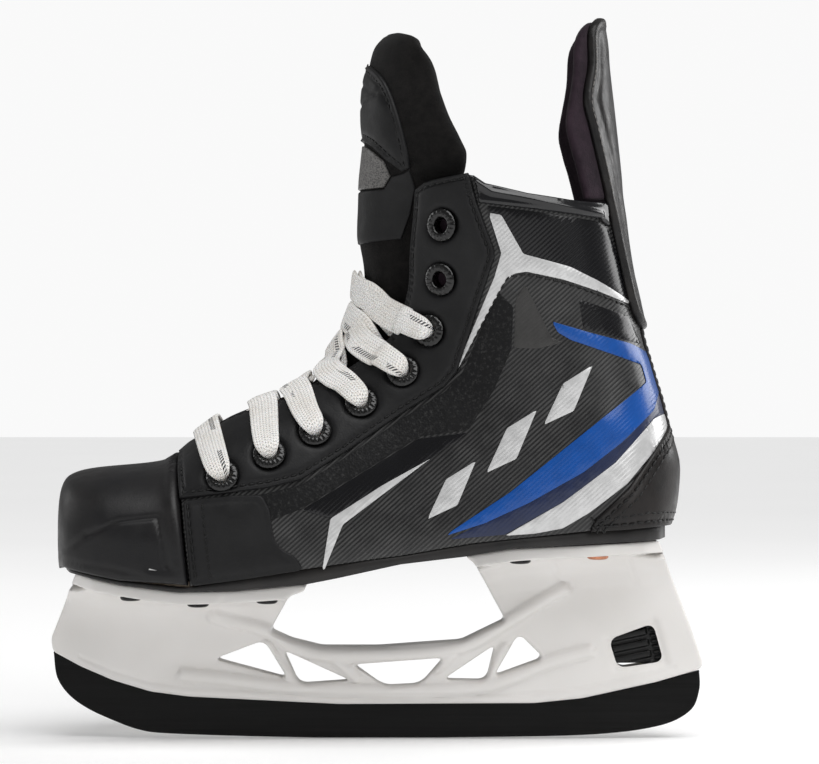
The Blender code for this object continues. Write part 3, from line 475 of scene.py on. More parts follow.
class Paint:
    """A Principled material, kept in paints by its name, with helpers that add procedural texture to it."""

    def __init__(self, name, colour, roughness, metallic=0.0, **more):
        paints[name] = self
        self.material = bpy.data.materials.new(name)
        self.material.use_nodes = True
        self.tree = self.material.node_tree
        self.shader = self.tree.nodes["Principled BSDF"]
        self.shader.inputs["Base Color"].default_value = (*colour, 1)
        self.shader.inputs["Roughness"].default_value = roughness
        self.shader.inputs["Metallic"].default_value = metallic
        self.shader.inputs["Specular IOR Level"].default_value = 0.32
        for socket, value in more.items():
            self.shader.inputs[socket.replace("_", " ")].default_value = value
        self.last_bump = None

    def node(self, kind, links=(), **values):
        made = self.tree.nodes.new(kind)
        for key, value in values.items():
            setattr(made, key, value)
        for socket, source in links:
            if isinstance(source, bpy.types.NodeSocket):
                self.tree.links.new(source, made.inputs[socket])
            else:
                made.inputs[socket].default_value = source
        return made

    def coordinates(self, turn=(0, 0, 0), scale=(1, 1, 1)):
        source = self.node("ShaderNodeTexCoord").outputs["Object"]
        links = [("Vector", source), ("Rotation", tuple(math.radians(t) for t in turn)), ("Scale", scale)]
        return self.node("ShaderNodeMapping", links).outputs[0]

    def noise(self, size, detail=3.0, roughness=0.55, where=None):
        """Noise whose blotches are about size millimetres across."""
        links = [("Vector", where or self.coordinates()), ("Scale", 1 / (size * MM)), ("Detail", detail),
                 ("Roughness", roughness)]
        return self.node("ShaderNodeTexNoise", links).outputs[0]

    def cells(self, size, feature="F1"):
        links = [("Vector", self.coordinates()), ("Scale", 1 / (size * MM))]
        return self.node("ShaderNodeTexVoronoi", links, feature=feature).outputs["Distance"]

    def bands(self, pitch, turn, distortion=0.0):
        """Straight bands pitch millimetres apart, across the X axis of coordinates turned by turn degrees."""
        links = [("Vector", self.coordinates(turn)), ("Scale", 2 * math.pi / (20 * pitch * MM)),
                 ("Distortion", distortion), ("Detail", 1.0), ("Detail Scale", 1.5)]
        return self.node("ShaderNodeTexWave", links).outputs["Fac"]

    def ramp(self, source, stops):
        made = self.node("ShaderNodeValToRGB", [("Fac", source)])
        elements = made.color_ramp.elements
        while len(elements) < len(stops):
            elements.new(0.5)
        for element, (position, value) in zip(elements, stops):
            element.position = position
            element.color = (*value, 1) if hasattr(value, "__len__") else (value, value, value, 1)
        return made.outputs["Color"]

    def bump(self, source, depth, strength=1.0):
        """Raise the surface by source times depth millimetres."""
        links = [("Height", source), ("Distance", depth * MM), ("Strength", strength)]
        if self.last_bump:
            links.append(("Normal", self.last_bump))
        self.last_bump = self.node("ShaderNodeBump", links).outputs[0]
        self.tree.links.new(self.last_bump, self.shader.inputs["Normal"])
        return self

    def vary_colour(self, source, low, high, start=0.3, end=0.7):
        self.tree.links.new(self.ramp(source, [(start, low), (end, high)]), self.shader.inputs["Base Color"])
        return self

    def vary_roughness(self, source, low, high, start=0.3, end=0.7):
        self.tree.links.new(self.ramp(source, [(start, low), (end, high)]), self.shader.inputs["Roughness"])
        return self


def make_paints():
    """Makes every material of the skate, each with its own procedural detail."""
    cap = Paint("cap_plastic", (0.01, 0.01, 0.011), 0.4)
    cap.vary_colour(cap.noise(22), (0.006, 0.006, 0.007), (0.013, 0.012, 0.012))
    cap.vary_roughness(cap.noise(6), 0.34, 0.5).bump(cap.noise(0.45, 2), 0.05).bump(cap.noise(9), 0.12)
    weave = Paint("charcoal_weave", (0.03, 0.03, 0.033), 0.3, Coat_Weight=0.35, Coat_Roughness=0.2)
    ribs = weave.bands(1.15, (0, -48, 0), 0.2)
    mix = weave.node("ShaderNodeMath", [(0, ribs), (1, weave.noise(7, 3))], operation="MULTIPLY").outputs[0]
    weave.vary_colour(mix, (0.004, 0.004, 0.0045), (0.05, 0.05, 0.049), 0.1, 0.62)
    weave.vary_roughness(weave.noise(3), 0.25, 0.42).bump(ribs, 0.12)
    mesh = Paint("speckled_mesh", (0.02, 0.02, 0.02), 0.6, Specular_IOR_Level=0.2)
    dots = mesh.cells(0.75)
    mesh.vary_colour(mesh.noise(1.1, 4, 0.8), (0.004, 0.004, 0.0045), (0.05, 0.05, 0.049), 0.52, 0.8)
    mesh.bump(dots, 0.12)
    leather = Paint("black_leather", (0.009, 0.009, 0.009), 0.5, Specular_IOR_Level=0.24)
    leather.vary_colour(leather.noise(14), (0.0065, 0.0065, 0.007), (0.012, 0.012, 0.0125))
    leather.vary_roughness(leather.noise(4), 0.42, 0.58)
    leather.bump(leather.cells(0.55, "F2"), 0.035).bump(leather.noise(5), 0.1)
    gloss = Paint("black_gloss", (0.005, 0.005, 0.006), 0.17, Coat_Weight=0.5, Coat_Roughness=0.08)
    gloss.vary_roughness(gloss.noise(5), 0.12, 0.26).bump(gloss.noise(3), 0.05)
    counter = Paint("counter_leather", (0.025, 0.021, 0.02), 0.42)
    counter.vary_colour(counter.noise(12), (0.005, 0.0045, 0.0045), (0.016, 0.013, 0.012))
    counter.vary_roughness(counter.noise(5), 0.3, 0.5).bump(counter.noise(0.5, 3), 0.05)
    guard = Paint("guard_plastic", (0.02, 0.019, 0.019), 0.36)
    guard.vary_colour(guard.noise(10), (0.005, 0.005, 0.0055), (0.014, 0.012, 0.011))
    guard.vary_roughness(guard.noise(4), 0.26, 0.48)
    guard.bump(guard.noise(0.6, 3), 0.06).bump(guard.noise(7), 0.25)
    felt = Paint("black_felt", (0.018, 0.018, 0.018), 0.95, Sheen_Weight=0.06, Sheen_Roughness=0.5,
                 Specular_IOR_Level=0.12)
    felt.vary_colour(felt.noise(3, 5, 0.7), (0.0035, 0.0033, 0.0033), (0.011, 0.01, 0.0095))
    felt.bump(felt.noise(0.6, 4, 0.8), 0.35)
    liner = Paint("liner_fabric", (0.02, 0.012, 0.018), 0.9, Specular_IOR_Level=0.15, Sheen_Weight=0.08,
                  Sheen_Roughness=0.5)
    liner.vary_colour(liner.noise(6, 4), (0.012, 0.007, 0.011), (0.03, 0.018, 0.026))
    liner.bump(liner.noise(0.5, 3), 0.2)
    dotted = Paint("dotted_mesh", (0.3, 0.29, 0.28), 0.45, Coat_Weight=0.2)
    cells = dotted.cells(0.6)
    dotted.vary_colour(cells, (0.02, 0.02, 0.02), (0.13, 0.125, 0.12), 0.2, 0.55).bump(cells, -0.15)
    for name, colour, rough, size in (
            ("silver_print", (0.62, 0.62, 0.62), 0.32, 4), ("blue_print", (0.003, 0.068, 0.31), 0.3, 6),
            ("navy_print", (0.012, 0.02, 0.06), 0.35, 3), ("black_print", (0.003, 0.003, 0.004), 0.22, 5),
            ("grey_print", (0.03, 0.029, 0.028), 0.5, 2)):
        metallic = 0.35 if name == "silver_print" else 0.0
        ink = Paint(name, colour, rough, metallic, Coat_Weight=0.25, Coat_Roughness=0.15)
        dark, light = tuple(c * 0.86 for c in colour), tuple(min(1, c * 1.08) for c in colour)
        ink.vary_colour(ink.noise(size), dark, light).bump(ink.bands(1.15, (0, -48, 0), 0.2), 0.04)
    thread = Paint("thread", (0.004, 0.004, 0.004), 0.4)
    thread.bump(thread.bands(0.35, (20, 40, 0)), 0.06)
    pale = Paint("pale_thread", (0.16, 0.15, 0.14), 0.6)
    pale.bump(pale.bands(0.35, (20, 40, 0)), 0.06)
    eyelet = Paint("eyelet_black", (0.003, 0.003, 0.003), 0.2, Coat_Weight=0.4, Coat_Roughness=0.05)
    eyelet.vary_roughness(eyelet.noise(0.8, 4), 0.1, 0.28).bump(eyelet.noise(0.9, 3, 0.6), 0.12)
    lace = Paint("lace_cotton", (0.88, 0.85, 0.81), 0.85, Sheen_Weight=0.2, Subsurface_Weight=0.08)
    lace.shader.inputs["Subsurface Radius"].default_value = (0.0015, 0.0012, 0.001)
    finish_lace(lace)
    aglet = Paint("aglet_film", (0.75, 0.72, 0.66), 0.16, Coat_Weight=0.5)
    aglet.vary_colour(aglet.noise(2), (0.62, 0.6, 0.55), (0.8, 0.78, 0.72)).bump(aglet.noise(1.2), 0.06)
    sole = Paint("sole_composite", (0.035, 0.034, 0.034), 0.42)
    sole.vary_colour(sole.noise(15), (0.009, 0.009, 0.0095), (0.024, 0.022, 0.021))
    sole.bump(sole.noise(0.6), 0.05)
    board = Paint("board_fibre", (0.32, 0.26, 0.2), 0.9)
    board.vary_colour(board.noise(1.5, 5), (0.22, 0.17, 0.13), (0.4, 0.33, 0.26))
    board.bump(board.noise(0.8, 4), 0.15)
    foam = Paint("footbed_foam", (0.045, 0.045, 0.05), 0.9, Sheen_Weight=0.2)
    foam.vary_colour(foam.cells(1.0), (0.02, 0.02, 0.024), (0.06, 0.06, 0.068), 0.2, 0.7)
    foam.bump(foam.cells(1.0), 0.2)
    nylon = Paint("holder_nylon", (0.83, 0.825, 0.815), 0.36, Subsurface_Weight=0.12, Coat_Weight=0.15,
                  Coat_Roughness=0.3)
    nylon.shader.inputs["Subsurface Radius"].default_value = (0.003, 0.0028, 0.0025)
    nylon.vary_colour(nylon.noise(30, 2), (0.74, 0.72, 0.695), (0.8, 0.78, 0.76))
    nylon.vary_roughness(nylon.noise(8), 0.3, 0.44)
    nylon.bump(nylon.noise(0.5, 2), 0.018).bump(nylon.noise(12), 0.1)
    steel = Paint("runner_steel", (0.012, 0.012, 0.012), 0.42, 0.6)
    grain = steel.noise(1.2, 4, 0.7, steel.coordinates(scale=(0.03, 1, 1)))
    steel.vary_colour(grain, (0.004, 0.004, 0.004), (0.009, 0.009, 0.009))
    steel.vary_roughness(grain, 0.36, 0.52).bump(grain, 0.02)
    ground = Paint("ground_steel", (0.5, 0.5, 0.5), 0.25, 1.0)
    ground.bump(ground.noise(0.3, 2, 0.5, ground.coordinates(scale=(0.05, 1, 1))), 0.02)
    for name, colour, metallic in (("rivet_steel", (0.03, 0.03, 0.03), 0.8),
                                   ("copper", (0.62, 0.27, 0.16), 0.85),
                                   ("spring_steel", (0.5, 0.5, 0.5), 1.0)):
        metal = Paint(name, colour, 0.38, metallic)
        dark, light = tuple(c * 0.7 for c in colour), tuple(min(1, c * 1.15) for c in colour)
        metal.vary_colour(metal.noise(1.5, 4), dark, light)
        metal.bump(metal.noise(0.7), 0.05)
    trigger = Paint("trigger_nylon", (0.005, 0.005, 0.005), 0.33)
    trigger.vary_roughness(trigger.noise(2), 0.25, 0.42).bump(trigger.noise(0.5), 0.03)


def finish_lace(lace):
    """Herringbone weave along the ribbon, with dark flecks near one edge."""
    uv = lace.node("ShaderNodeTexCoord").outputs["UV"]
    split = lace.node("ShaderNodeSeparateXYZ", [("Vector", uv)])
    across, along = split.outputs[0], split.outputs[1]

    def math_node(kind, *values):
        return lace.node("ShaderNodeMath", list(enumerate(values)), operation=kind).outputs[0]

    thirds = math_node("FRACT", math_node("MULTIPLY", across, 3.0))
    zigzag = math_node("ABSOLUTE", math_node("SUBTRACT", thirds, 0.5))
    phase = math_node("ADD", math_node("MULTIPLY", along, 0.95), math_node("MULTIPLY", zigzag, 1.6))
    twill = math_node("ABSOLUTE", math_node("SINE", math_node("MULTIPLY", phase, math.pi)))
    cords = math_node("ABSOLUTE", math_node("SINE", math_node("MULTIPLY", across, math.pi * 9)))
    lace.bump(twill, 0.3, 0.9).bump(cords, 0.22, 0.8).bump(lace.noise(0.35, 2), 0.12)
    patches = math_node("GREATER_THAN", lace.noise(16, 1), 0.53)
    inner, outer = math_node("GREATER_THAN", across, 0.66), math_node("LESS_THAN", across, 0.84)
    edge = math_node("MULTIPLY", inner, outer)
    dashes = math_node("GREATER_THAN", math_node("SINE", math_node("MULTIPLY", phase, math.pi * 2)), 0.1)
    fleck = math_node("MULTIPLY", math_node("MULTIPLY", edge, dashes), patches)
    tone = lace.ramp(lace.noise(9, 3), [(0.35, (0.86, 0.83, 0.78)), (0.6, (0.95, 0.935, 0.91))])
    mixed = lace.node("ShaderNodeMix", data_type="RGBA")
    lace.tree.links.new(fleck, mixed.inputs["Factor"])
    lace.tree.links.new(tone, mixed.inputs[6])
    mixed.inputs[7].default_value = (0.03, 0.03, 0.035, 1)
    lace.tree.links.new(mixed.outputs[2], lace.shader.inputs["Base Color"])


make_paints()

# ---------------------------------------------------------------- mesh helpers


def finish_mesh(name, points, faces, paint, body="root", slot=None, nodes=(), uv=None):
    """An object from points in millimetres, painted, riding on a body and standing for CAD nodes."""
    mesh = bpy.data.meshes.new(name)
    mesh.from_pydata((np.asarray(points) * MM).tolist(), [], faces)
    if uv is not None:
        layer = mesh.uv_layers.new(name="UVMap")
        index = np.zeros(len(mesh.loops), int)
        mesh.loops.foreach_get("vertex_index", index)
        layer.data.foreach_set("uv", np.asarray(uv, np.float32)[index].ravel())
    mesh.materials.append(paints[paint].material)
    made = bpy.data.objects.new(name, mesh)
    bpy.context.scene.collection.objects.link(made)
    mesh.shade_smooth()
    if body:
        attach(made, body)
    if nodes:
        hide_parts(*nodes)
    return made


def inset(sheet, ab, distance, loop):
    """Points moved inwards from a closed boundary by a distance in millimetres, along the surface."""
    step = 1e-3
    here, normal = sheet.at(ab)
    along = (sheet.at(ab + [step, 0])[0] - sheet.at(ab - [step, 0])[0]) / (2 * step)
    across = (sheet.at(ab + [0, step])[0] - sheet.at(ab - [0, step])[0]) / (2 * step)
    tangent = np.roll(here, -1, axis=0) - np.roll(here, 1, axis=0)
    inward = unit(np.cross(normal, tangent))
    aa, bb, cc = (along ** 2).sum(1), (across ** 2).sum(1), (along * across).sum(1)
    pa, pb = (along * inward).sum(1), (across * inward).sum(1)
    det = np.maximum(aa * bb - cc * cc, 1e-9)
    shift = np.stack([(pa * bb - pb * cc) / det, (pb * aa - pa * cc) / det], axis=1)
    trial = inside(sheet.to_plane(ab + shift * 0.3), loop)
    sign = 1 if trial.mean() > 0.5 else -1
    return ab + shift * distance * sign


def thin(sheet, ab, least):
    """A closed boundary without points nearer to the one before than least millimetres."""
    here = sheet.at(ab)[0]
    kept = [0]
    for i in range(1, len(ab)):
        if np.linalg.norm(here[i] - here[kept[-1]]) >= least:
            kept.append(i)
    while len(kept) > 3 and np.linalg.norm(here[kept[-1]] - here[0]) < least:
        kept.pop()
    return ab[kept]


# Shares of a rounded edge's width where rings of points follow the rim
EDGE_STEPS = (0.06, 0.22, 0.5, 1.0)


def rim_edges(rims):
    """Pairs of point numbers along closed rims, whose points are numbered one rim after another."""
    edges, start = [], 0
    for rim in rims:
        edges += [(start + i, start + (i + 1) % len(rim)) for i in range(len(rim))]
        start += len(rim)
    return edges


def lattice(sheet, loop, step, solid):
    """Places of a triangular lattice on a sheet, where a test finds the outline laid flat to be solid."""
    low, high = loop.min(0), loop.max(0)
    gx, gy = np.meshgrid(np.arange(low[0], high[0], step), np.arange(low[1], high[1], step * 0.87))
    gx[1::2] += step / 2
    spots = np.stack([gx.ravel(), gy.ravel()], axis=1)
    return sheet.from_plane(spots[solid(spots)])


def reach_from(places, count):
    """Distance from each place to the nearest of the first count of them."""
    tree = KDTree(count)
    for i, point in enumerate(places[:count]):
        tree.insert(point, i)
    tree.balance()
    return np.array([tree.find(p)[2] for p in places])


def triangulate(plane, edges, solid):
    """Triangles between points laid flat, with edges kept and with no point added."""
    spots, _, triangles, source, _, _ = delaunay_2d_cdt([Vector(p) for p in plane], edges, [], 0, 1e-5)
    origin = np.array([s[0] if s else -1 for s in source])
    spots = np.array([tuple(s) for s in spots])
    triangles = np.array([t for t in triangles if len(t) == 3])
    triangles = origin[triangles[solid(spots[triangles].mean(axis=1))]]
    return triangles[(triangles >= 0).all(axis=1)]


def rounded_rise(reach, edge):
    """0 on a rim, rising along a quarter circle to 1 at edge millimetres from it."""
    return np.sqrt(np.maximum(0, 1 - (1 - np.clip(reach / edge, 0, 1)) ** 2))


def well_spaced(deep, reach, clear):
    """Which points no rim crowds: ring points kept apart from other rims, lattice points clear of all."""
    crowded = (deep == np.inf) & (reach < clear)
    mixed = (deep > 0) & (deep < np.inf) & (reach < deep * 0.7 - 1e-6)
    return ~(crowded | mixed)


def face_along(triangles, points, normals):
    """Turns round the triangles that face against the normals at their first corner."""
    a, b, c = (points[triangles[:, k]] for k in range(3))
    wrong = (np.cross(b - a, c - a) * normals[triangles[:, 0]]).sum(1) < 0
    triangles[wrong] = triangles[wrong][:, ::-1]


def panel(name, sheet, boundary, layer, paint, edge=0.7, grid=1.1, relief=None, both=False, extra=(),
          least=0.5, holes=(), **how):
    """A closed panel of a sheet inside a boundary: two skins whose rim is rounded by edge millimetres."""
    boundary = thin(sheet, boundary, least)
    loop = sheet.to_plane(boundary)
    rims = [boundary] + list(holes)
    rims_flat = np.vstack(rims)
    cuts = [sheet.to_plane(hole) for hole in holes]

    def solid(flat):
        keep = inside(flat, loop)
        for cut in cuts:
            keep &= ~inside(flat, cut)
        return keep

    rings, depth = [rims_flat], [np.zeros(len(rims_flat))]
    for share in EDGE_STEPS:
        rings.append(inset(sheet, boundary, edge * share, loop))
        depth.append(np.full(len(boundary), edge * share))
    for distance in extra:
        rings.append(inset(sheet, boundary, distance, loop)[::2])
        depth.append(np.full(len(rings[-1]), distance))
    for ring, deep in zip(rings[1:], depth[1:]):
        ring[~solid(sheet.to_plane(ring))] = np.nan
    inner = lattice(sheet, loop, grid, solid)
    flat = np.concatenate(rings + [inner])
    deep = np.concatenate(depth + [np.full(len(inner), np.inf)])
    good = ~np.isnan(flat[:, 0])
    flat, deep = flat[good], deep[good]
    places = sheet.at(flat)[0]
    count = len(rims_flat)
    reach = reach_from(places, count)
    keep = well_spaced(deep, reach, max(edge, *extra, 0.01) + grid * 0.4)
    flat, deep, places, reach = flat[keep], np.minimum(deep, reach)[keep], places[keep], reach[keep]
    triangles = triangulate(sheet.to_plane(flat), rim_edges(rims), solid)
    rise = rounded_rise(deep, edge)
    rise[:count] = 0
    lift = relief(places, flat, reach) * rise if relief else 0.0
    if both:
        middle, half = (layer[0] + layer[1]) / 2, (layer[1] - layer[0]) / 2
        top, base = middle + half * rise + lift, middle - half * rise
    else:
        top, base = layer[0] + (layer[1] - layer[0]) * rise + lift, np.full(len(flat), layer[0])
    outer, normals = sheet.at(flat, top)
    under = sheet.at(flat, base)[0]
    face_along(triangles, outer, normals)
    lower = np.arange(len(flat)) + len(flat)
    lower[:count] = np.arange(count)
    faces = triangles.tolist() + lower[triangles[:, ::-1]].tolist()
    return finish_mesh(name, np.concatenate([outer, under]), faces, paint, **how), boundary, loop


def capsules(name, centres, ahead, up, length, radius, paint, **how):
    """Short rounded stitches lying along a line, all in one mesh."""
    ring, rows = 6, 5
    points, faces = [], []
    for centre, along, above in zip(centres, ahead, up):
        side = np.cross(along, above)
        start = len(points)
        for i in range(rows):
            turn = math.pi * (i + 0.5) / rows
            for j in range(ring):
                spin = 2 * math.pi * j / ring
                out = (side * math.cos(spin) + above * math.sin(spin)) * radius * math.sin(turn) ** 0.6
                points.append(centre - along * math.cos(turn) * length / 2 + out)
        index = numbered(rows, ring, start)
        faces += quads(index, closed=True) + [index[0, ::-1].tolist(), index[-1].tolist()]
    return finish_mesh(name, points, faces, paint, **how)


def stitch_line(name, sheet, ab, offset, pitch=2.7, length=2.0, radius=0.34, closed=False, paint="thread",
                **how):
    """Stitches along a line on a sheet."""
    places, normals = sheet.at(ab, offset)
    if closed:
        places, normals = np.vstack([places, places[:1]]), np.vstack([normals, normals[:1]])
    walked = walked_along(places)
    marks = np.arange(pitch / 2, walked[-1] - pitch / 4, pitch)

    def read(values, where):
        return np.stack([np.interp(where, walked, values[:, k]) for k in range(3)], axis=1)

    centres, up = read(places, marks), read(normals, marks)
    ahead = read(places, marks + 0.6) - read(places, marks - 0.6)
    keep = np.linalg.norm(ahead, axis=1) > 0.4
    centres, up, ahead = centres[keep], up[keep], unit(ahead[keep])
    up = unit(up - ahead * (up * ahead).sum(1, keepdims=True))
    return capsules(name, centres, ahead, up, length, radius, paint, **how)


def away_from(places, line):
    """Distances in side view from a line."""
    xz = places[:, [0, 2]]
    best = np.full(len(xz), 1e9)
    for a, b in zip(line, line[1:]):
        a, b = np.array(a, float), np.array(b, float)
        t = np.clip(((xz - a) @ (b - a)) / ((b - a) @ (b - a)), 0, 1)
        best = np.minimum(best, np.linalg.norm(xz - a - t[:, None] * (b - a), axis=1))
    return best


def near_line(places, line, width):
    """1 on a side-view line, falling smoothly to 0 a few widths away."""
    return np.exp(-(away_from(places, line) / width) ** 2)


def bar(places, line, radius):
    """1 on a side-view line, rounded off to 0 a radius away, as a round bar half sunk into a wall is."""
    return np.sqrt(np.maximum(0, 1 - (away_from(places, line) / radius) ** 2))


def seam_groove(distance, width=0.55, depth=0.4):
    """Relief of a stitched channel at a distance from the rim."""
    return lambda places, ab, reach: -depth * np.exp(-((reach - distance) / width) ** 2)


def lathe(name, profile, centre, axis, paint, sides=40, ripple=None, **how):
    """A closed ring or knob: a profile (radius, height) turned about an axis, rippled where asked."""
    axis = Vector(axis).normalized()
    turn = np.array(axis.to_track_quat("Z", "Y").to_matrix())
    count = len(profile)
    points, faces = [], []
    for i in range(sides):
        a = 2 * math.pi * i / sides
        for r, h in profile:
            h += ripple(r, a) if ripple else 0.0
            points.append(np.array(centre) + turn @ np.array([r * math.cos(a), r * math.sin(a), h]))
    for i in range(sides):
        for k in range(count):
            m, n = (k + 1) % count, (i + 1) % sides
            faces.append((i * count + k, n * count + k, n * count + m, i * count + m))
    return finish_mesh(name, points, faces, paint, **how)


def skin(name, rings, paint, **how):
    """A tube through rings of equal point counts, closed at both ends."""
    rings = np.asarray(rings)
    index = numbered(*rings.shape[:2])
    faces = quads(index, closed=True) + [index[0, ::-1].tolist(), index[-1].tolist()]
    return finish_mesh(name, rings.reshape(-1, 3), faces, paint, **how)


def wall(x, z, side, offset=0.0):
    """Point beside the boot's wall at a side-view place, and the wall's outward normal."""
    here, normal = boot.at(place([(x, z)], side), np.array([offset]))
    return here[0], normal[0]


# ---------------------------------------------------------------- camera, light and floor

CAMERA_DISTANCE = 1100.0
VIEW_WIDTH = 264.1        # across the picture at the skate
VIEW_CENTRE = (10.5, 114.5)


def make_studio():
    """Camera at the photograph's angle, soft white light and a pale floor."""
    camera = bpy.data.objects.new("camera", bpy.data.cameras.new("camera"))
    camera.location = Vector((VIEW_CENTRE[0], -CAMERA_DISTANCE, VIEW_CENTRE[1])) * MM
    camera.rotation_euler = (math.pi / 2, 0, 0)
    camera.data.sensor_width = 36
    camera.data.lens = 36 * CAMERA_DISTANCE / VIEW_WIDTH
    camera.data.clip_start = 0.05
    bpy.context.scene.collection.objects.link(camera)
    bpy.context.scene.camera = camera
    world = bpy.data.worlds.new("studio")
    world.use_nodes = True
    tree = world.node_tree
    soft = tree.nodes["Background"]
    soft.inputs["Color"].default_value = (1, 1, 1, 1)
    soft.inputs["Strength"].default_value = 0.2
    seen = tree.nodes.new("ShaderNodeBackground")
    seen.inputs["Color"].default_value = (1, 1, 1, 1)
    seen.inputs["Strength"].default_value = 0.95
    mix = tree.nodes.new("ShaderNodeMixShader")
    tree.links.new(tree.nodes.new("ShaderNodeLightPath").outputs["Is Camera Ray"], mix.inputs[0])
    tree.links.new(soft.outputs[0], mix.inputs[1])
    tree.links.new(seen.outputs[0], mix.inputs[2])
    tree.links.new(mix.outputs[0], tree.nodes["World Output"].inputs["Surface"])
    bpy.context.scene.world = world
    bpy.context.scene.view_settings.view_transform = "Standard"
    sun = bpy.data.objects.new("overhead", bpy.data.lights.new("overhead", "SUN"))
    sun.data.energy = 2.0
    sun.data.angle = math.radians(50)
    sun.rotation_euler = Vector((0.25, -0.38, 1)).to_track_quat("Z", "Y").to_euler()
    bpy.context.scene.collection.objects.link(sun)
    for name, place_m, size, watts in (
            ("key", (0.8, -0.8, 0.75), 0.6, 3.5), ("fill", (-0.95, -0.75, 0.4), 0.7, 0.8),
            ("back", (0.9, 0.5, 0.5), 0.6, 4.0), ("toe", (-1.0, 0.45, 0.5), 0.5, 1.5)):
        light = bpy.data.objects.new(name, bpy.data.lights.new(name, "AREA"))
        light.data.size = size
        light.data.energy = watts
        light.location = place_m
        light.rotation_euler = (Vector((0, 0, 0.11)) - Vector(place_m)).to_track_quat("-Z", "Y").to_euler()
        bpy.context.scene.collection.objects.link(light)
    floor_mesh = bpy.data.meshes.new("floor")
    reach = 6.0
    corners = [(-reach, -reach, 0), (reach, -reach, 0), (reach, reach, 0), (-reach, reach, 0)]
    floor_mesh.from_pydata(corners, [], [(0, 1, 2, 3)])
    floor = bpy.data.objects.new("floor", floor_mesh)
    floor.location.z = -0.0003
    chalk = Paint("floor_white", (0.92, 0.92, 0.92), 0.75, Emission_Strength=0.12)
    chalk.shader.inputs["Emission Color"].default_value = (1, 1, 1, 1)
    chalk.vary_colour(chalk.noise(300, 2), (0.91, 0.91, 0.91), (0.93, 0.93, 0.93))
    floor_mesh.materials.append(chalk.material)
    bpy.context.scene.collection.objects.link(floor)


# ---------------------------------------------------------------- tongue surface

CROWN_LINE = smooth_line(TONGUE_CROWN)
TONGUE_ROWS = 240
TONGUE_COLUMNS = 121
# Above this level the tongue keeps the arc that it has there, and only its span shrinks
TONGUE_CAP_LEVEL = 212
TONGUE_CAP_HALF = 23
TONGUE_CAP_DEPTH = 21.5


def crown_frame(index):
    """A point of the tongue's crown line and the direction away from the foot there, in side view."""
    a = CROWN_LINE[max(index - 1, 0)]
    b = CROWN_LINE[min(index + 1, len(CROWN_LINE) - 1)]
    length = math.hypot(b[0] - a[0], b[1] - a[1])
    return CROWN_LINE[index], (-(b[1] - a[1]) / length, (b[0] - a[0]) / length)


def build_tongue():
    """Tongue surface: it follows the boot under the facings, and above them stands free round the ankle."""
    rows = []
    for index in range(0, len(CROWN_LINE), 3):
        (cx, cz), (nx, nz) = crown_frame(index)
        half, depth = smooth_table(TONGUE_SIZES, np.array([cz]))[0]
        turn_limit = 90
        if cz > TONGUE_CAP_LEVEL:
            turn_limit = math.degrees(math.acos(1 - depth / TONGUE_CAP_DEPTH))
            half, depth = TONGUE_CAP_HALF, TONGUE_CAP_DEPTH
        free = min(1, max(0, (cz - 136) / 26))
        free = free * free * (3 - 2 * free)
        if cz > 150:
            share = min(1, (cz - 150) / 10)
            nx, nz = nx * (1 - share) - share, nz * (1 - share)
        station = float(station_of(np.array([cx]), np.array([min(cz, 176.0)]))[0])
        row = []
        for turn in (-90, -66, -44, -22, 0, 22, 44, 66, 90):
            a = math.radians(turn * turn_limit / 90)
            drop = depth * (1 - math.cos(a))
            arc = np.array([cx - nx * drop, half * math.sin(a), cz - nz * drop])
            if turn and free < 1:
                side = 1 if turn > 0 else -1
                if abs(turn) > 60:
                    ridge = boot.at(np.array([[station, 0.0]]))[0][0]
                    reach = opening_half(ridge[0]) + (1.0 if abs(turn) == 66 else 7.0)
                    line = np.linspace(0, 0.45, 90)
                    wall_points, _ = boot.at(np.stack([np.full(90, station), side * line], 1))
                    v = np.interp(reach, np.maximum.accumulate(np.abs(wall_points[:, 1])), line)
                    under = boot.at(np.array([[station, side * v]]), np.array([-6.6]))[0][0]
                else:
                    out, down = {22: (0.47, 0.11), 44: (0.86, 0.34)}[abs(turn)]
                    under = np.array([cx - nx * depth * down, side * half * out, cz - nz * depth * down])
                arc = under * (1 - free) + arc * free
            row.append(tuple(arc))
        rows.append(smooth_line(row, 15))
    fine = np.array([smooth_line(column, 8) for column in zip(*rows)]).transpose(1, 0, 2)
    walked = walked_along(fine[:, TONGUE_COLUMNS // 2])
    even = np.linspace(0, walked[-1], TONGUE_ROWS)
    index = np.interp(even, walked, np.arange(len(walked)))
    low = np.minimum(index.astype(int), len(fine) - 2)
    share = (index - low)[:, None, None]
    return fine[low] * (1 - share) + fine[low + 1] * share


tongue_points = build_tongue()
tongue_out = np.zeros_like(tongue_points)
tongue_out[..., 0], tongue_out[..., 2] = -0.7, 0.4
tongue = Sheet(tongue_points, (0, 1), (-1, 1), np.array([190.0, 32.0]), outward=tongue_out)


def steady_top(sheet, steady_rows=24, fade_rows=12):
    """Gives the crowded rows at the tongue's rounded top the normals of the arc that they lie on."""
    x, y = sheet.points[..., 0], sheet.points[..., 1]
    ahead = (x - x[:, TONGUE_COLUMNS // 2, None]) / TONGUE_CAP_DEPTH - 1
    arc = unit(np.stack([ahead, y / TONGUE_CAP_HALF, np.full(x.shape, 0.3)], axis=2))
    share = np.clip((np.arange(TONGUE_ROWS) - TONGUE_ROWS + steady_rows) / fade_rows, 0, 1)[:, None, None]
    sheet.normals = sheet.normals * (1 - share) + arc * share


steady_top(tongue)


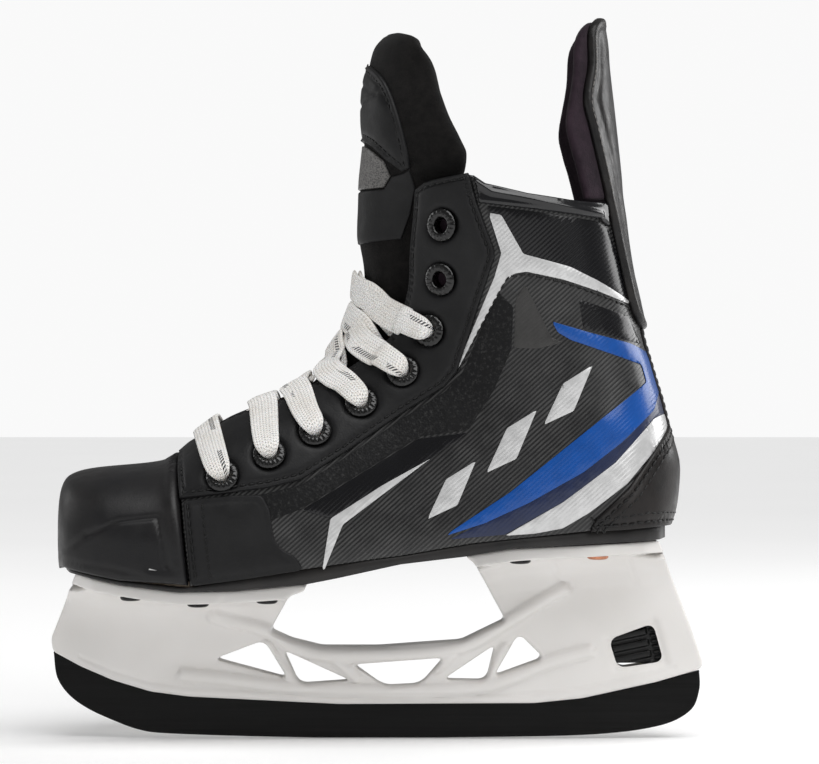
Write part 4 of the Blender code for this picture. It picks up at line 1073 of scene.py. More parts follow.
def tongue_place(xz, side):
    """Tongue coordinates of side-view places on its free part."""
    found = []
    b = np.linspace(0, 1, 60)
    for x, z in xz:
        a = np.interp(z, tongue_points[:, TONGUE_COLUMNS // 2, 2], np.linspace(0, 1, TONGUE_ROWS))
        row = tongue.at(np.stack([np.full(len(b), a), side * b], 1))[0]
        found.append((a, side * np.interp(x, np.maximum.accumulate(row[:, 0]), b)))
    return np.array(found)


# ---------------------------------------------------------------- lace

def over_tongue(x, z, share, lift):
    """Point over the tongue's crown near a side-view place, share of its half-width aside, and its normal."""
    index = min(range(len(CROWN_LINE)), key=lambda i: math.dist(CROWN_LINE[i], (x, z)))
    (cx, cz), (nx, nz) = crown_frame(index)
    half, depth = blend_at(TONGUE_SIZES, cz)
    turn = math.asin(share)
    drop = depth * (1 - math.cos(turn)) - lift
    tilt = turn * 0.7
    normal = np.array([nx * math.cos(tilt), math.sin(tilt), nz * math.cos(tilt)])
    return np.array([cx - nx * drop, (half + lift) * share, cz - nz * drop]), normal


def edge_point(x, z, side, inset_mm, lift):
    """Point near a facing's edge at a ridge place: inset outwards from the edge, lift above the wall."""
    index = int(np.argmin((RIDGE_LINE[:, 0] - x) ** 2 + (RIDGE_LINE[:, 1] - z) ** 2))
    (ax, az), (bx, bz) = RIDGE_LINE[index], RIDGE_LINE[index + 1]
    inward = Vector((bz - az, 0, -(bx - ax))).normalized()
    start = Vector((ax, 0, az)) - inward * 20 + Vector((0, side * (opening_half(ax) + inset_mm), 0))
    hit, normal, _, _ = surface_tree.ray_cast(start, inward)
    if normal.dot(inward) > 0:
        normal = -normal
    return np.array(hit + (normal if inset_mm > 0 else -inward) * lift), np.array(normal)


def between(a, b, share):
    """Point a share of the way from a to b."""
    return (a[0] + (b[0] - a[0]) * share, a[1] + (b[1] - a[1]) * share)


# How far back towards the crossing before it each strand meets the facing's edge
ARRIVALS = (0.0, 0.2, 0.45, 0.6, 0.4)
# Width and thickness of the ribbon where it lies flat, turns into an eyelet, and passes through it
FLAT, TURNING, GATHERED, THROUGH = (LACE_WIDTH, LACE_THICK), (8.6, 1.8), (6.4, 2.2), (4.4, 3.0)


def stop(found, face, size):
    """One row of the lace's route: place, outward normal, width and thickness."""
    point, normal = found
    return (*point, *(normal * face), *size)


def into_eyelet(row, side, towards, face):
    """From the outside of an eyelet through it, for a strand that comes from a ridge place."""
    here = EYELETS[row]
    above, normal = wall(*here, side, 4.75)
    top = wall(*between(here, towards, 0.34), side, 3.6)
    ahead = above - top[0]
    ahead -= normal * (ahead @ normal)
    ahead /= np.linalg.norm(ahead)
    return [stop(top, face, TURNING),
            stop((above - ahead * 0.6, normal * 0.85 + ahead * 0.5), face, (7.4, 2.0)),
            stop((wall(*here, side, 1.6)[0], ahead), face, THROUGH),
            stop((wall(*here, side, -2.0)[0], ahead * 0.3 - normal), face, THROUGH)]


def strand(row, side, under, face):
    """From inside one eyelet, over the tongue, to the outside of the next eyelet opposite and through it."""
    here, cross = EYELETS[row], LACE_CROSSINGS[row + 1]
    rise = 1.8 if under else 3.7
    leave = between(LACE_CROSSINGS[row], cross, 0.45)
    arrive = between(cross, LACE_CROSSINGS[row], ARRIVALS[row])
    points = [stop(wall(*here, side, -4.4), face, GATHERED),
              stop(edge_point(*leave, side, 3.0, -4.2), face, TURNING),
              stop(edge_point(*leave, side, -2.0, -2.4), face, FLAT),
              stop(over_tongue(*between(leave, cross, 0.35), side * 0.75, 1.9), face, FLAT),
              stop(over_tongue(*between(leave, cross, 0.7), side * 0.4, (1.6 + rise) / 2), face, FLAT),
              stop(over_tongue(*cross, 0.0, rise), face, FLAT),
              stop(over_tongue(*between(cross, arrive, 0.5), -side * 0.45, (2.2 + rise) / 2), face, FLAT),
              stop(edge_point(*arrive, -side, -2.5, 3.3), face, FLAT),
              stop(edge_point(*arrive, -side, 2.5, 2.9), face, FLAT)]
    return points + into_eyelet(row + 1, -side, arrive, face)


def first_bar():
    """The straight bar across the throat, on the outside of the first two eyelets."""
    x, z = LACE_CROSSINGS[0]
    ends = {side: into_eyelet(0, side, (x, z), 1) for side in (-1, 1)}
    middle = [stop(edge_point(x, z, side, edge, lift), 1, FLAT)
              for side, edge, lift in ((-1, 3.0, 3.0), (-1, -4.0, 3.0), (1, -4.0, 3.0), (1, 3.0, 3.0))]
    return list(reversed(ends[-1])) + middle + ends[1]


def tail(side, face):
    """From inside the last laced eyelet, down inside the boot and round on the footbed."""
    places = [(*EYELETS[LACED_ROWS - 1], -4.4, GATHERED), (21.5, 124, -6.5, TURNING), (26, 114, -8.0, FLAT),
              (29.5, 102, -8.5, FLAT), (31.5, 88, -10.0, FLAT)]
    points = [stop(wall(x, z, side, off), face, size) for x, z, off, size in places]
    for index, (x, y) in enumerate(HEEL_LOOP if side > 0 else TOE_LOOP):
        landing = (3.5, 0.8)[index] if index < 2 else 0.0
        tilt = side * (0.5, 0.2)[index] if index < 2 else 0.0
        up = np.array([0.0, tilt, 1.0]) * face
        points.append((x, y, height_on(SOLE_TOP, x) + FOOTBED_TOP + 1.1 + landing, *up, *FLAT))
    return points


def lace_route():
    """The whole lace from one aglet to the other: place, outward normal, width and thickness at each stop."""
    halves = []
    for side in (1, -1):
        half, here, face = [], side, -1
        for row in range(LACED_ROWS - 1):
            half += strand(row, here, under=(side > 0) == (row % 2 == 0), face=face)
            here, face = -here, -face
        halves.append(half + tail(here, face))
    return list(reversed(halves[1])) + first_bar() + halves[0]


def make_lace():
    """One flat ribbon along the route, with a film-wrapped aglet at each end."""
    fine = np.array(smooth_line(lace_route(), 12))
    walked = walked_along(fine[:, :3])
    marks = np.linspace(0, walked[-1], int(walked[-1] / 0.9))
    read = np.stack([np.interp(marks, walked, fine[:, k]) for k in range(8)], axis=1)
    for _ in range(3):
        read[1:-1] = read[1:-1] * 0.5 + (read[:-2] + read[2:]) * 0.25
    centre, up = read[:, :3], read[:, 3:6]
    ahead = unit(np.gradient(centre, axis=0))
    across = unit(np.cross(up, ahead))
    for i in range(1, len(across)):
        if across[i] @ across[i - 1] < 0:
            across[i] = -across[i]
    for _ in range(6):
        across[1:-1] = across[1:-1] * 0.5 + (across[:-2] + across[2:]) * 0.25
        across = unit(across - ahead * (across * ahead).sum(1, keepdims=True))
    above = np.cross(ahead, across)
    around = 20
    turns = np.arange(around) * 2 * math.pi / around
    flat = np.clip((read[:, 6] - THROUGH[0]) / (LACE_WIDTH - THROUGH[0]), 0, 1)[:, None]
    wide = np.sign(np.cos(turns)) * np.abs(np.cos(turns)) ** (1 - 0.45 * flat) * read[:, 6:7] / 2
    tall = np.sign(np.sin(turns)) * np.abs(np.sin(turns)) ** (1 - 0.25 * flat) * read[:, 7:8] / 2
    rings = centre[:, None] + across[:, None] * wide[..., None] + above[:, None] * tall[..., None]
    uv = np.stack([0.5 + wide / read[:, 6:7], np.broadcast_to(marks[:, None], wide.shape)], axis=-1)
    lace = skin("lace_ribbon", rings, "lace_cotton", nodes=["lace"], uv=uv.reshape(-1, 2))
    aglets = [make_aglet("aglet_left", centre[0], unit(centre[0] - centre[4]), across[0]),
              make_aglet("aglet_right", centre[-1], unit(centre[-1] - centre[-5]), across[-1])]


# Distance along the aglet, its radius there
AGLET = [(-1.0, 1.9), (0.0, 2.0), (1.2, 1.75), (3, 1.6), (18, 1.55), (20.5, 1.4), (21.6, 1.0), (22, 0.4)]


def make_aglet(name, end, ahead, side_way):
    above = np.cross(ahead, side_way)
    turns = np.arange(20) * 2 * math.pi / 20
    rings = [[end + ahead * along + side_way * math.cos(t) * radius + above * math.sin(t) * radius * 0.85
              for t in turns] for along, radius in AGLET]
    return skin(name + "_film", rings, "aglet_film", nodes=[name])


# ---------------------------------------------------------------- boot panels

def seam_x(z):
    """Where the toe cap's rear seam lies at a height."""
    return -62.9 + (90 - z) * 0.1125


def above_sole(lift):
    """The sole's top line, raised."""
    return [(x, z + lift) for x, z in SOLE_TOP]


def half_outline(outline, side):
    """Boundary of a piece on one half of the boot, kept off the middle lines and the lacing slot."""
    ab = place(dense(outline), side)
    ab[:, 1] = side * np.clip(np.abs(ab[:, 1]), 0.002, 0.9985)
    return keep_off_slot(ab, side)


def wrapped(path):
    """A boundary round the heel from a side-view path that starts and ends behind it."""
    points = dense(path, closed=False)
    right, left = place(points, 1), place(points, -1)
    left[:, 1] += 2
    return np.vstack([right, left[::-1]])


def make_toe_cap():
    """Moulded cap with a parting groove, a lip at the sole and a small light silver mark at each side."""
    bottom = [p for p in above_sole(0.15) if p[0] < -60]
    path = [(seam_x(z), z) for z in (100, 90, 80, 70, 60, 51)] + list(reversed(bottom))
    points = dense(path, closed=False)
    right, left = place(points, 1), place(points, -1)
    patch = [(-99, 60), (-90, 66.5), (-80, 70.6), (-68, 71.9), (-66.3, 64), (-65.1, 56.8)]
    lip = [(-98, 58.6), (-92, 57.6), (-82, 56.4), (-70, 53.2)]

    def relief(places, ab, reach):
        outer = places[:, 1] < 20
        groove = -0.8 * near_line(places, patch[1:], 0.75) - 0.3 * near_line(places, patch[:2], 0.8)
        raised = -0.3 * near_line(places, lip, 0.7)
        rim = 0.35 * np.exp(-((reach - 2.4) / 1.4) ** 2) * (places[:, 0] > -72)
        return (groove + raised) * outer + rim

    boundary = np.vstack([right, left[::-1][1:-1]])
    panel("toe_cap_shell", toe, boundary, CAP, "cap_plastic", edge=1.3, grid=0.8, relief=relief, extra=(2.4,),
          nodes=["toe_cap"])
    # A small light silver mark low on each side of the cap: a thin patch painted silver, with no cut under
    # it.
    mark_outline = [(-70.9, 55.9), (-66.8, 55.0), (-66.9, 55.7), (-70.4, 56.5)]
    for word, side in SIDES.items():
        panel(f"toe_silver_mark_{word}", boot, place(dense(mark_outline, 0.3), side), (1.4, 1.56), "silver_print", edge=0.12,
              grid=0.6, slot="cap_plastic", least=0.2)


def eyelet_cuts(places, side, radius, depth):
    """Relief that sinks a wall round each eyelet."""
    sunk = np.zeros(len(places))
    for x, z in EYELETS:
        centre = wall(x, z, side)[0]
        away = np.linalg.norm(places - centre, axis=1)
        sunk -= depth / (1 + np.exp((away - radius) / 0.35))
    return sunk


def make_uppers():
    """Shell halves, facings, collar bands, liners and eyelets, on both sides."""
    bottom = above_sole(0.0)
    quarter = [(seam_x(50.3) + GAP, 50.4), (seam_x(130) + GAP, 130), (-5, 166)] + THROAT_CORNER
    quarter += [(28.7, 179.6)] + COLLAR_EDGE + [(110, 170.6), (100, 140), (95, 100), (100, 80), (94, 69)]
    quarter += [p for p in reversed(bottom) if -59 < p[0] < 93]
    facing = [(seam_x(77.7) + GAP, 77.7), (seam_x(130) + GAP, 130), (-5, 166)] + THROAT_CORNER
    facing += FACING_BACK[:-1]
    trim = [(30.6, 179.2)] + COLLAR_EDGE[1:]
    trim += [(72.9, 171.2), (73.1, 163.8), (70, 165.9), (50, 168.4), (32.4, 170.4)]
    liner = [(-57, 74), (-38, 78), (-24, 85), (-10, 95), (7, 106), (20.5, 116), (23.5, 121), (28, 136),
             (16, 141), (14.8, 152), (15.2, 166), (16.2, 175.5), (20, 178), (30, 178.6), (34, 176.2),
             (47, 173.2), (60, 171.3), (66, 170.9), (110, 170)]
    lifted = above_sole(BOARD_THICK + 2 * GAP)
    liner += [(100, 140), (95, 100), (100, 80), (94, 72)]
    liner += [p for p in reversed(lifted) if -60 < p[0] < 93] + [(-57, 55)]
    around = np.arange(20) * math.pi / 10
    ring = EYELET_CUT_R * np.stack([np.cos(around), np.sin(around)], axis=1)
    stitched = 1.7
    groove = seam_groove(stitched, 0.65, 0.7)
    for word, side in SIDES.items():
        holes = [place(np.array(eyelet) + ring, side) for eyelet in EYELETS]
        panel(f"quarter_{word}_shell", boot, half_outline(quarter, side), QUARTER, "charcoal_weave", edge=0.6,
              grid=1.5, holes=holes, nodes=[f"quarter_{word}"])

        def relief(places, ab, reach, side=side):
            swell = 0.35 * np.exp(-((reach - 5) / 4) ** 2)
            return groove(places, ab, reach) + swell + eyelet_cuts(places, side, EYELET_R + 0.5, 0.55)

        _, edge_line, loop = panel(f"facing_{word}_leather", boot, half_outline(facing, side), FACING,
                                   "black_leather", edge=0.7, grid=0.85, relief=relief, extra=(1.3, 1.7, 2.1),
                                   holes=holes, nodes=[f"facing_{word}"])
        stitch_line(f"facing_{word}_stitches", boot, inset(boot, edge_line, stitched, loop), FACING[1] - 0.4,
                    closed=True, radius=0.4, slot="black_leather")
        make_collar(word, side, trim)
        panel(f"liner_{word}_pad", boot, half_outline(liner, side), LINER, "liner_fabric", edge=1.2, grid=2.2,
              both=True, nodes=[f"liner_{word}"])
        for row, (x, z) in enumerate(EYELETS, 1):
            make_eyelet(f"eyelet_{word}_{row}", x, z, side)
        make_toe_overlay(word, side)


def make_collar(word, side, trim):
    """Glossy band along the collar with a raised rail."""
    rail = [(31.5, 177.2), (36.4, 173.8), (50, 171.2), (70, 167.6)]
    lower = [(32.6, 171.6), (50, 169.5), (70, 166.6)]

    def relief(places, ab, reach):
        return 0.9 * near_line(places, rail, 0.9) + 0.5 * near_line(places, lower, 0.7)

    panel(f"collar_trim_{word}_band", boot, half_outline(trim, side), TRIM, "black_gloss", edge=0.5, grid=0.6,
          relief=relief, nodes=[f"collar_trim_{word}"])


def make_toe_overlay(word, side):
    """Leather overlay behind the toe cap, held by two rows of stitching down its seam."""
    outline = [(-60.2, 77.2), (-46, 79), (-35.5, 79.2), (-33, 74.5), (-32.4, 70), (-31.6, 65.2),
               (-29.4, 62.4), (-25.6, 60.4), (-23.4, 57.8), (-22.8, 55.9), (-40, 53.2), (-57.6, 50.8)]
    panel(f"toe_overlay_{word}", boot, place(dense(rounded(outline, 0.8, 2)), side), (0.13, 0.75),
          "black_leather", edge=0.6, grid=1.0, relief=seam_groove(1.6))
    for number, shift in enumerate((2.6, 7.2), 1):
        line = [(seam_x(z) + shift, z) for z in np.linspace(76.5, 52.2, 40)]
        stitch_line(f"toe_seam_{word}_{number}", boot, place(line, side), 0.74, slot="black_leather")


def make_eyelet(name, x, z, side):
    """A flanged ring with a domed lip and a rolled inner edge."""
    seat, top = FACING[1] - 0.25, FACING[1] + 1.15
    rim, hole = EYELET_R, EYELET_HOLE_R
    profile = [(EYELET_BARREL_R, -2.0), (EYELET_BARREL_R, seat), (rim - 0.15, seat), (rim, seat + 0.25),
               (rim - 0.12, seat + 0.62), (rim - 0.5, top - 0.42), (rim - 1.1, top - 0.12), (rim - 1.7, top),
               (hole + 0.6, top - 0.15), (hole + 0.15, top - 0.6), (hole, top - 1.2), (hole, -2.0)]

    def serration(radius, angle):
        return 0.13 * math.cos(18 * angle) if 3.3 < radius < 4.9 else 0.0

    foot, normal = wall(x, z, side)
    lathe(name + "_ring", profile, foot, normal, "eyelet_black", 72, serration, nodes=[name])


def make_prints():
    """Printed and overlaid shapes on the quarters, all plain bands and patches with no marks or words."""
    silver_y = [(35.2, 167.4), (39.2, 166.7), (46.1, 154.5), (61, 150.6), (70, 146.3), (77, 142.4),
                (80.3, 140.2), (80, 139.3), (70, 143), (58.6, 146.6), (47.1, 149), (43.2, 148.4),
                (40.3, 145.8), (25.6, 118.2), (25.2, 118.7), (37.1, 147.4), (39.2, 154.8)]
    shapes = [
        ("ankle_panel", "black_print", 0.0,
         [(34.5, 169.6), (52, 167.5), (70, 165.1), (73.2, 163), (82.5, 139), (70, 144), (58.6, 147.6),
          (46, 150), (41.5, 149), (38.5, 155), (35, 167.5)]),
        ("silver_y", "silver_print", 0.12, silver_y),
        ("grey_patch", "grey_print", 0.0,
         [(43.8, 140.5), (46.7, 145.1), (51.3, 135.9), (55, 128.4), (58.8, 126.9), (50.7, 124.9),
          (43.2, 125.2)]),
        ("dark_patch", "black_print", 0.0,
         [(63.7, 140.5), (80.1, 135.3), (84.5, 126.5), (65.1, 130.9)]),
        ("blue_band", "blue_print", 0.12,
         [(55.1, 133.5), (68, 129.8), (80.6, 126.7), (87.8, 123.4), (90.9, 111.6), (90.3, 111.3), (88, 105.5),
          (77, 95.3), (65.1, 86.2), (48, 76.6), (34, 70.2), (22, 66.4), (23.9, 68), (42.1, 80), (58.6, 93.2),
          (72, 103.9), (84.8, 113.7), (85.7, 114.5), (84.1, 120), (61, 127.7), (56.9, 130.1)]),
        ("navy_band", "navy_print", 0.0,
         [(23, 65.2), (34, 70.6), (48, 77), (65.1, 86.6), (88, 105.7), (90.3, 111.5), (91, 111.2),
          (92.9, 104.4), (90.3, 103.8), (88, 102.9), (75, 89), (58.6, 76.8), (40.3, 66.6)]),
        ("silver_band", "silver_print", 0.12,
         [(92.8, 104.6), (90.3, 103.8), (88, 102.9), (75, 89), (58.6, 76.8), (40.3, 66.3), (50, 67),
          (58.6, 68.6), (66.8, 73.4), (79, 82.6), (92.2, 97.7), (93.6, 99.6)]),
        ("black_flag", "black_print", 0.12,
         [(-23, 74.6), (-5, 85.6), (13.5, 96.8), (29, 98.7), (17.3, 90.6), (-11.6, 72.6), (-14.8, 72.2)]),
        ("silver_check", "silver_print", 0.24,
         [(17.3, 90.6), (3, 80), (-10.3, 70), (-16.1, 55.9), (-16.7, 56.3), (-14.2, 71.9), (-11, 73.9),
          (2, 82.2)]),
        ("mesh_strip", "speckled_mesh", 0.0,
         [(-57.4, 75.8), (-34.2, 79.7), (-23.3, 82.4), (-9, 91.2), (7.9, 102.8), (21.6, 111.4), (27.1, 117.4),
          (38, 143), (43, 138), (42.5, 125), (37, 112), (29, 99.5), (13.5, 97.3), (-23, 75), (-31, 72),
          (-36, 70)]),
    ]
    for x, z, tall in ((16, 71.5, 14), (34.5, 86, 15.5), (52.5, 101, 14.5)):
        lean = tall * 0.42
        shapes.append((f"slant_bar_{int(x)}", "silver_print", 0.12,
                       [(x, z), (x + 9.5, z + 4.4), (x + 9.5 + lean, z + 4.4 + tall),
                        (x + lean, z + tall - 1.5)]))
    for word, side in SIDES.items():
        for name, paint, lift, outline in shapes:
            ab = place(dense(rounded(outline, 0.35, 2), 0.8), side)
            ab[:, 1] = side * np.clip(np.abs(ab[:, 1]), 0, 0.975)
            panel(f"{name}_{word}", boot, ab, (PRINT[0] + lift, PRINT[1] + lift), paint, edge=0.12, grid=2.2,
                  slot="charcoal_weave", least=0.6)
        seam = [(25.6, 117.2), (33, 132), (40.8, 146.4), (43.6, 147.6), (47.3, 148), (58.8, 145.6), (70, 142),
                (80.6, 138.2)]
        stitch_line(f"ankle_seam_{word}", boot, place(dense(smooth_line(seam, 5), 0.9, False), side), 0.2,
                    slot="charcoal_weave")


def make_heel():
    """Leather counter over the heel, with two rows of stitches."""
    bottom = [p for p in above_sole(0.15) if p[0] > 67]
    path = [(93.4, 101.6)] + HEEL_COUNTER_EDGE[1:-1] + [(67.2, 67.6)] + bottom[:-1] + [(93.6, 69)]
    _, edge_line, loop = panel("heel_counter_leather", boot, wrapped(path), COUNTER, "counter_leather",
                               edge=0.7, grid=1.3, relief=seam_groove(2.0), extra=(1.5, 2.0, 2.5),
                               nodes=["heel_counter"])
    for number, distance in enumerate((2.0, 4.2), 1):
        seam = inset(boot, edge_line, distance, loop)
        stitch_line(f"heel_stitches_{number}", boot, seam, COUNTER[1] - 0.05, closed=True,
                    slot="counter_leather")


def make_back_strip():
    """Leather strip down the back centre, over the seam between the quarters and the ends of their prints."""
    along = np.linspace(*station_of(*np.array(BACK_STRIP_ENDS).T), 40)
    right = np.stack([along, np.full(40, 1 - BACK_STRIP_HALF)], axis=1)
    left = np.stack([along, np.full(40, 1 + BACK_STRIP_HALF)], axis=1)
    stitched = 1.3
    _, edge_line, loop = panel("back_strip_leather", boot, np.vstack([right, left[::-1]]), BACK_STRIP,
                               "counter_leather", edge=0.6, grid=0.9, relief=seam_groove(stitched),
                               extra=(1.0, 1.6))
    stitch_line("back_strip_stitches", boot, inset(boot, edge_line, stitched, loop), BACK_STRIP[1] - 0.1,
                closed=True, slot="counter_leather")


def make_guard():
    """Tendon guard with its stitched rim and felt pad."""
    path = [(110, 231)] + smooth_line(list(reversed(GUARD_EDGE)), 5)
    path += smooth_line(GUARD_BASE_EDGE, 3) + [(84.85, 131)]
    ridge = [(69.5, 226), (69.5, 212), (68.6, 203.6), (73.5, 184), (78, 160), (84, 138)]

    def relief(places, ab, reach):
        binding = 0.55 * np.exp(-((reach - stitched) / 1.5) ** 2)
        return binding - 0.5 * near_line(places, ridge, 0.6) + 0.35 * np.exp(-((reach - 9) / 5) ** 2)

    stitched = 1.7
    guard, edge_line, loop = panel("tendon_guard_shell", boot, wrapped(path), GUARD, "guard_plastic",
                                   edge=0.9, grid=1.1, relief=relief, extra=(stitched, 2.6, 3.6), body=None,
                                   nodes=["tendon_guard", "tendon_guard_base"])
    seam = inset(boot, edge_line, stitched, loop)
    stitches = stitch_line("tendon_guard_stitches", boot, seam, GUARD[1] + 0.42, closed=True, pitch=2.2,
                           length=1.6, radius=0.22, paint="pale_thread", body=None, slot="guard_plastic")
    lining = [(110, 229)] + smooth_line(list(reversed(GUARD_LINER_EDGE)), 5) + [(66.5, 172.1), (110, 172.1)]
    liner, _, _ = panel("tendon_guard_pad", boot, wrapped(lining), GUARD_LINER, "liner_fabric", edge=1.25,
                        grid=1.6, both=True, body=None, nodes=["tendon_guard_liner"])
    for piece in (guard, stitches, liner):
        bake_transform(piece)


# ---------------------------------------------------------------- tongue pieces

def pillow(name, sheet, rows, columns, thick, edge, paint, nodes):
    """The whole of a sheet as a padded slab below it, rounded at its rim."""
    a, b = np.meshgrid(np.linspace(*sheet.a_ends, rows), np.linspace(*sheet.b_ends, columns), indexing="ij")
    places, normals = sheet.at(np.stack([a, b], axis=-1))
    across, along = np.zeros((rows, columns)), np.zeros((rows, columns))
    across[:, 1:] = np.cumsum(np.linalg.norm(np.diff(places, axis=1), axis=2), axis=1)
    along[1:] = np.cumsum(np.linalg.norm(np.diff(places, axis=0), axis=2), axis=0)
    reach = np.minimum(np.minimum(across, across[:, -1:] - across), np.minimum(along, along[-1:] - along))
    rise = rounded_rise(reach, edge)[..., None]
    middle = places - normals * thick / 2
    outer, inner = middle + normals * rise * thick / 2, middle - normals * rise * thick / 2
    index = numbered(rows, columns)
    under = index.copy()
    under[1:-1, 1:-1] += rows * columns
    points = np.concatenate([outer.reshape(-1, 3), inner.reshape(-1, 3)])
    return finish_mesh(name, points, quads(index) + quads(under.T), paint, body=None, nodes=nodes)


def mirrored_on_tongue(path):
    """A boundary across the tongue from a side-view path that starts and ends on its crown."""
    points = dense(path, 0.8, closed=False)
    right, left = tongue_place(points, 1), tongue_place(points, -1)
    return np.vstack([right, left[::-1][1:-1]])


def make_tongue():
    """Felt tongue with its padded front, mesh patch and stitches."""
    body = pillow("tongue_felt", tongue, 150, 81, TONGUE_THICK, 3.0, "black_felt",
                  ["tongue_lower", "tongue_upper"])
    pieces = [body]
    border = [(-2, 216), (3.2, 209.6), (7, 199.6), (9.7, 189), (11, 182.5)]
    upper = [(-8, 217)] + smooth_line(border, 4) + [(8.4, 181.5), (3, 185.5), (-1, 189.5), (-3.5, 191.5),
                                                    (-8, 192)]
    crease = [(-4, 203), (1.5, 207), (4, 203)]
    second = [(-5, 212), (-1.5, 207.5), (1, 205.5)]
    stitched = 2.2

    def swell(places, ab, reach):
        piping = 0.5 * np.exp(-((reach - 0.8) / 0.6) ** 2) - 0.35 * np.exp(-((reach - stitched) / 0.6) ** 2)
        padding = 0.9 * (1 - np.exp(-np.maximum(reach - 2, 0) / 3))
        creases = 0.55 * near_line(places, crease, 0.6) + 0.45 * near_line(places, second, 0.5)
        return piping + padding - creases

    patch = [(-8, 190.8), (-3.5, 190.2), (-1, 188.2), (2.5, 184.9), (4.5, 180), (2.5, 176.5), (-8, 176)]
    smooth = [(-8, 175.6), (2.5, 176), (5, 180), (8.5, 180.8), (10.5, 182), (12.5, 176), (11, 168), (8, 160),
              (-8, 158.5)]
    for name, path, layer, paint, relief in (("tongue_pad", upper, (0.1, 0.9), "black_leather", swell),
                                             ("tongue_mesh_patch", patch, (0.05, 0.7), "dotted_mesh", None),
                                             ("tongue_front", smooth, (0.05, 0.6), "black_leather", None)):
        made, edge_line, loop = panel(name, tongue, mirrored_on_tongue(path), layer, paint, edge=0.6,
                                      grid=0.9, relief=relief, extra=(1.5,), body=None, slot="black_leather",
                                      nodes=["tongue_panel"] if name == "tongue_pad" else [])
        pieces.append(made)
        if name == "tongue_pad":
            seam = inset(tongue, edge_line, stitched, loop)
            pieces.append(stitch_line("tongue_stitches", tongue, seam, 0.75, closed=True, pitch=2.3,
                                      length=1.6, radius=0.3, body=None, slot="black_leather"))
    for piece in pieces:
        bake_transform(piece)


# ---------------------------------------------------------------- soles

def plan_edge(x, z, side, offset):
    """How far out the boot's wall, moved by offset, lies beside a side-view place."""
    return wall(x, z, side, offset)[0][1]


def sole_plate(name, low, high, offset, ends, paint, node, rim=0.8):
    """A plate under the foot between two curves, following the boot's wall moved by offset."""
    share = np.linspace(0, math.pi, 120)
    xs = (ends[0] + ends[1]) / 2 - (ends[1] - ends[0]) / 2 * np.cos(share)
    rings = []
    for x, t in zip(xs, share):
        base, top = low(x), high(x)
        middle = (base + top) / 2
        taper = min(1.0, math.sin(t) * 4.2) ** 0.5 if t not in (0, math.pi) else 0.02
        edge = {}
        inner_x = min(max(x, ends[0] + 1.0), ends[1] - 1.0)
        for side in (-1, 1):
            edge[side] = plan_edge(inner_x, max(middle, low(inner_x) + 0.2), side, offset) * max(taper, 0.02)
        roll = min(rim, (top - base) / 2)
        turns = [-90, -60, -30, 0, 30, 60, 90]
        ring = []
        for side in (1, -1):
            for turn in (turns if side > 0 else reversed(turns)):
                a = math.radians(turn)
                y = edge[side] - side * roll * (1 - math.cos(a))
                z = (top if turn > 0 else base) - math.copysign(roll, turn) * (1 - abs(math.sin(a)))
                ring.append((x, y, z if turn else middle))
        rings.append(ring)
    return skin(name, rings, paint, nodes=[node])


def make_soles():
    """Outsole, insole board and footbed."""
    def top(x):
        return height_on(SOLE_TOP, x)

    sole_low = [(-120, 54.8)] + SOLE_BOTTOM + [(120, 64.9)]
    sole_plate("outsole_plate", lambda x: height_on(sole_low, x), lambda x: top(x) + 0.25, 0.75,
               (-99.3, 92.6), "sole_composite", "outsole", 0.5)
    sole_plate("insole_board_plate", lambda x: top(x) + 0.15, lambda x: top(x) + BOARD_THICK, -2.2,
               (-96.2, 90.5), "board_fibre", "insole_board", 0.3)
    footbed = sole_plate("footbed_pad", lambda x: top(x) + BOARD_THICK + GAP,
                         lambda x: top(x) + BOARD_THICK + GAP + FOOTBED_THICK, -4.4, (-94, 89),
                         "footbed_foam", "footbed", 1.2)


# ---------------------------------------------------------------- holder, runner, trigger

HOLDER_TOP = 66.0
HOLDER_ENDS = (-106, 106)
HOLDER_ROWS = 425
HOLDER_COLUMNS = 181
RAILS = [[(-52, 39.6), (-34.5, 34.8), (-27, 29.8), (-17, 27.1), (0.6, 26.9), (20, 28), (31, 31), (41, 37),
          (52, 43.8), (60, 48.4)],
         [(-62, 20.5), (-50, 19.3), (-30, 16.6), (-10, 15.5), (15, 15.2), (33, 16.5), (44, 19.8), (55, 24.6),
          (68, 28.2)]]
STRUTS = [[(-35.5, 30), (-27, 18)], [(-8.5, 22.5), (-6.5, 19.5), (-16, 28)], [(19, 22.5), (25, 27.5)],
          [(36, 19), (41, 29)]]


def build_holder_sheet():
    """Side surface of the holder at -Y: rows along x, columns up its profile."""
    xs = np.linspace(*HOLDER_ENDS, HOLDER_ROWS)
    sizes = smooth_table(FLANGE, xs)
    even = np.linspace(0, 1, HOLDER_COLUMNS)
    rows, heights = [], []
    for x, (half, under) in zip(xs, sizes):
        outline = [(4.3, 5), (4.6, 16), (5.4, 24), (6.6, under - 15), (8.0, under - 9), (10.2, under - 5),
                   (14, under - 2), (half - 8, under - 0.6), (half - 1.0, under - 0.1), (half, under + 0.9),
                   (half, HOLDER_TOP + 4)]
        line = np.array(smooth_line(outline, 10))
        line[:, 1] = np.maximum.accumulate(line[:, 1] + np.arange(len(line)) * 1e-4)
        walked = np.concatenate([[0], np.cumsum(np.hypot(*np.diff(line, axis=0).T))])
        y, z = (np.interp(even, walked / walked[-1], line[:, k]) for k in (0, 1))
        rows.append(np.stack([np.full(HOLDER_COLUMNS, x), -y, z], axis=1))
        heights.append(z)
    return np.array(rows), np.array(heights)


holder_points, holder_heights = build_holder_sheet()
holder_out = np.zeros_like(holder_points)
holder_out[..., 1] = -1
side_sheet = Sheet(holder_points, HOLDER_ENDS, (0, 1), np.array([1.0, 95.0]), outward=holder_out)


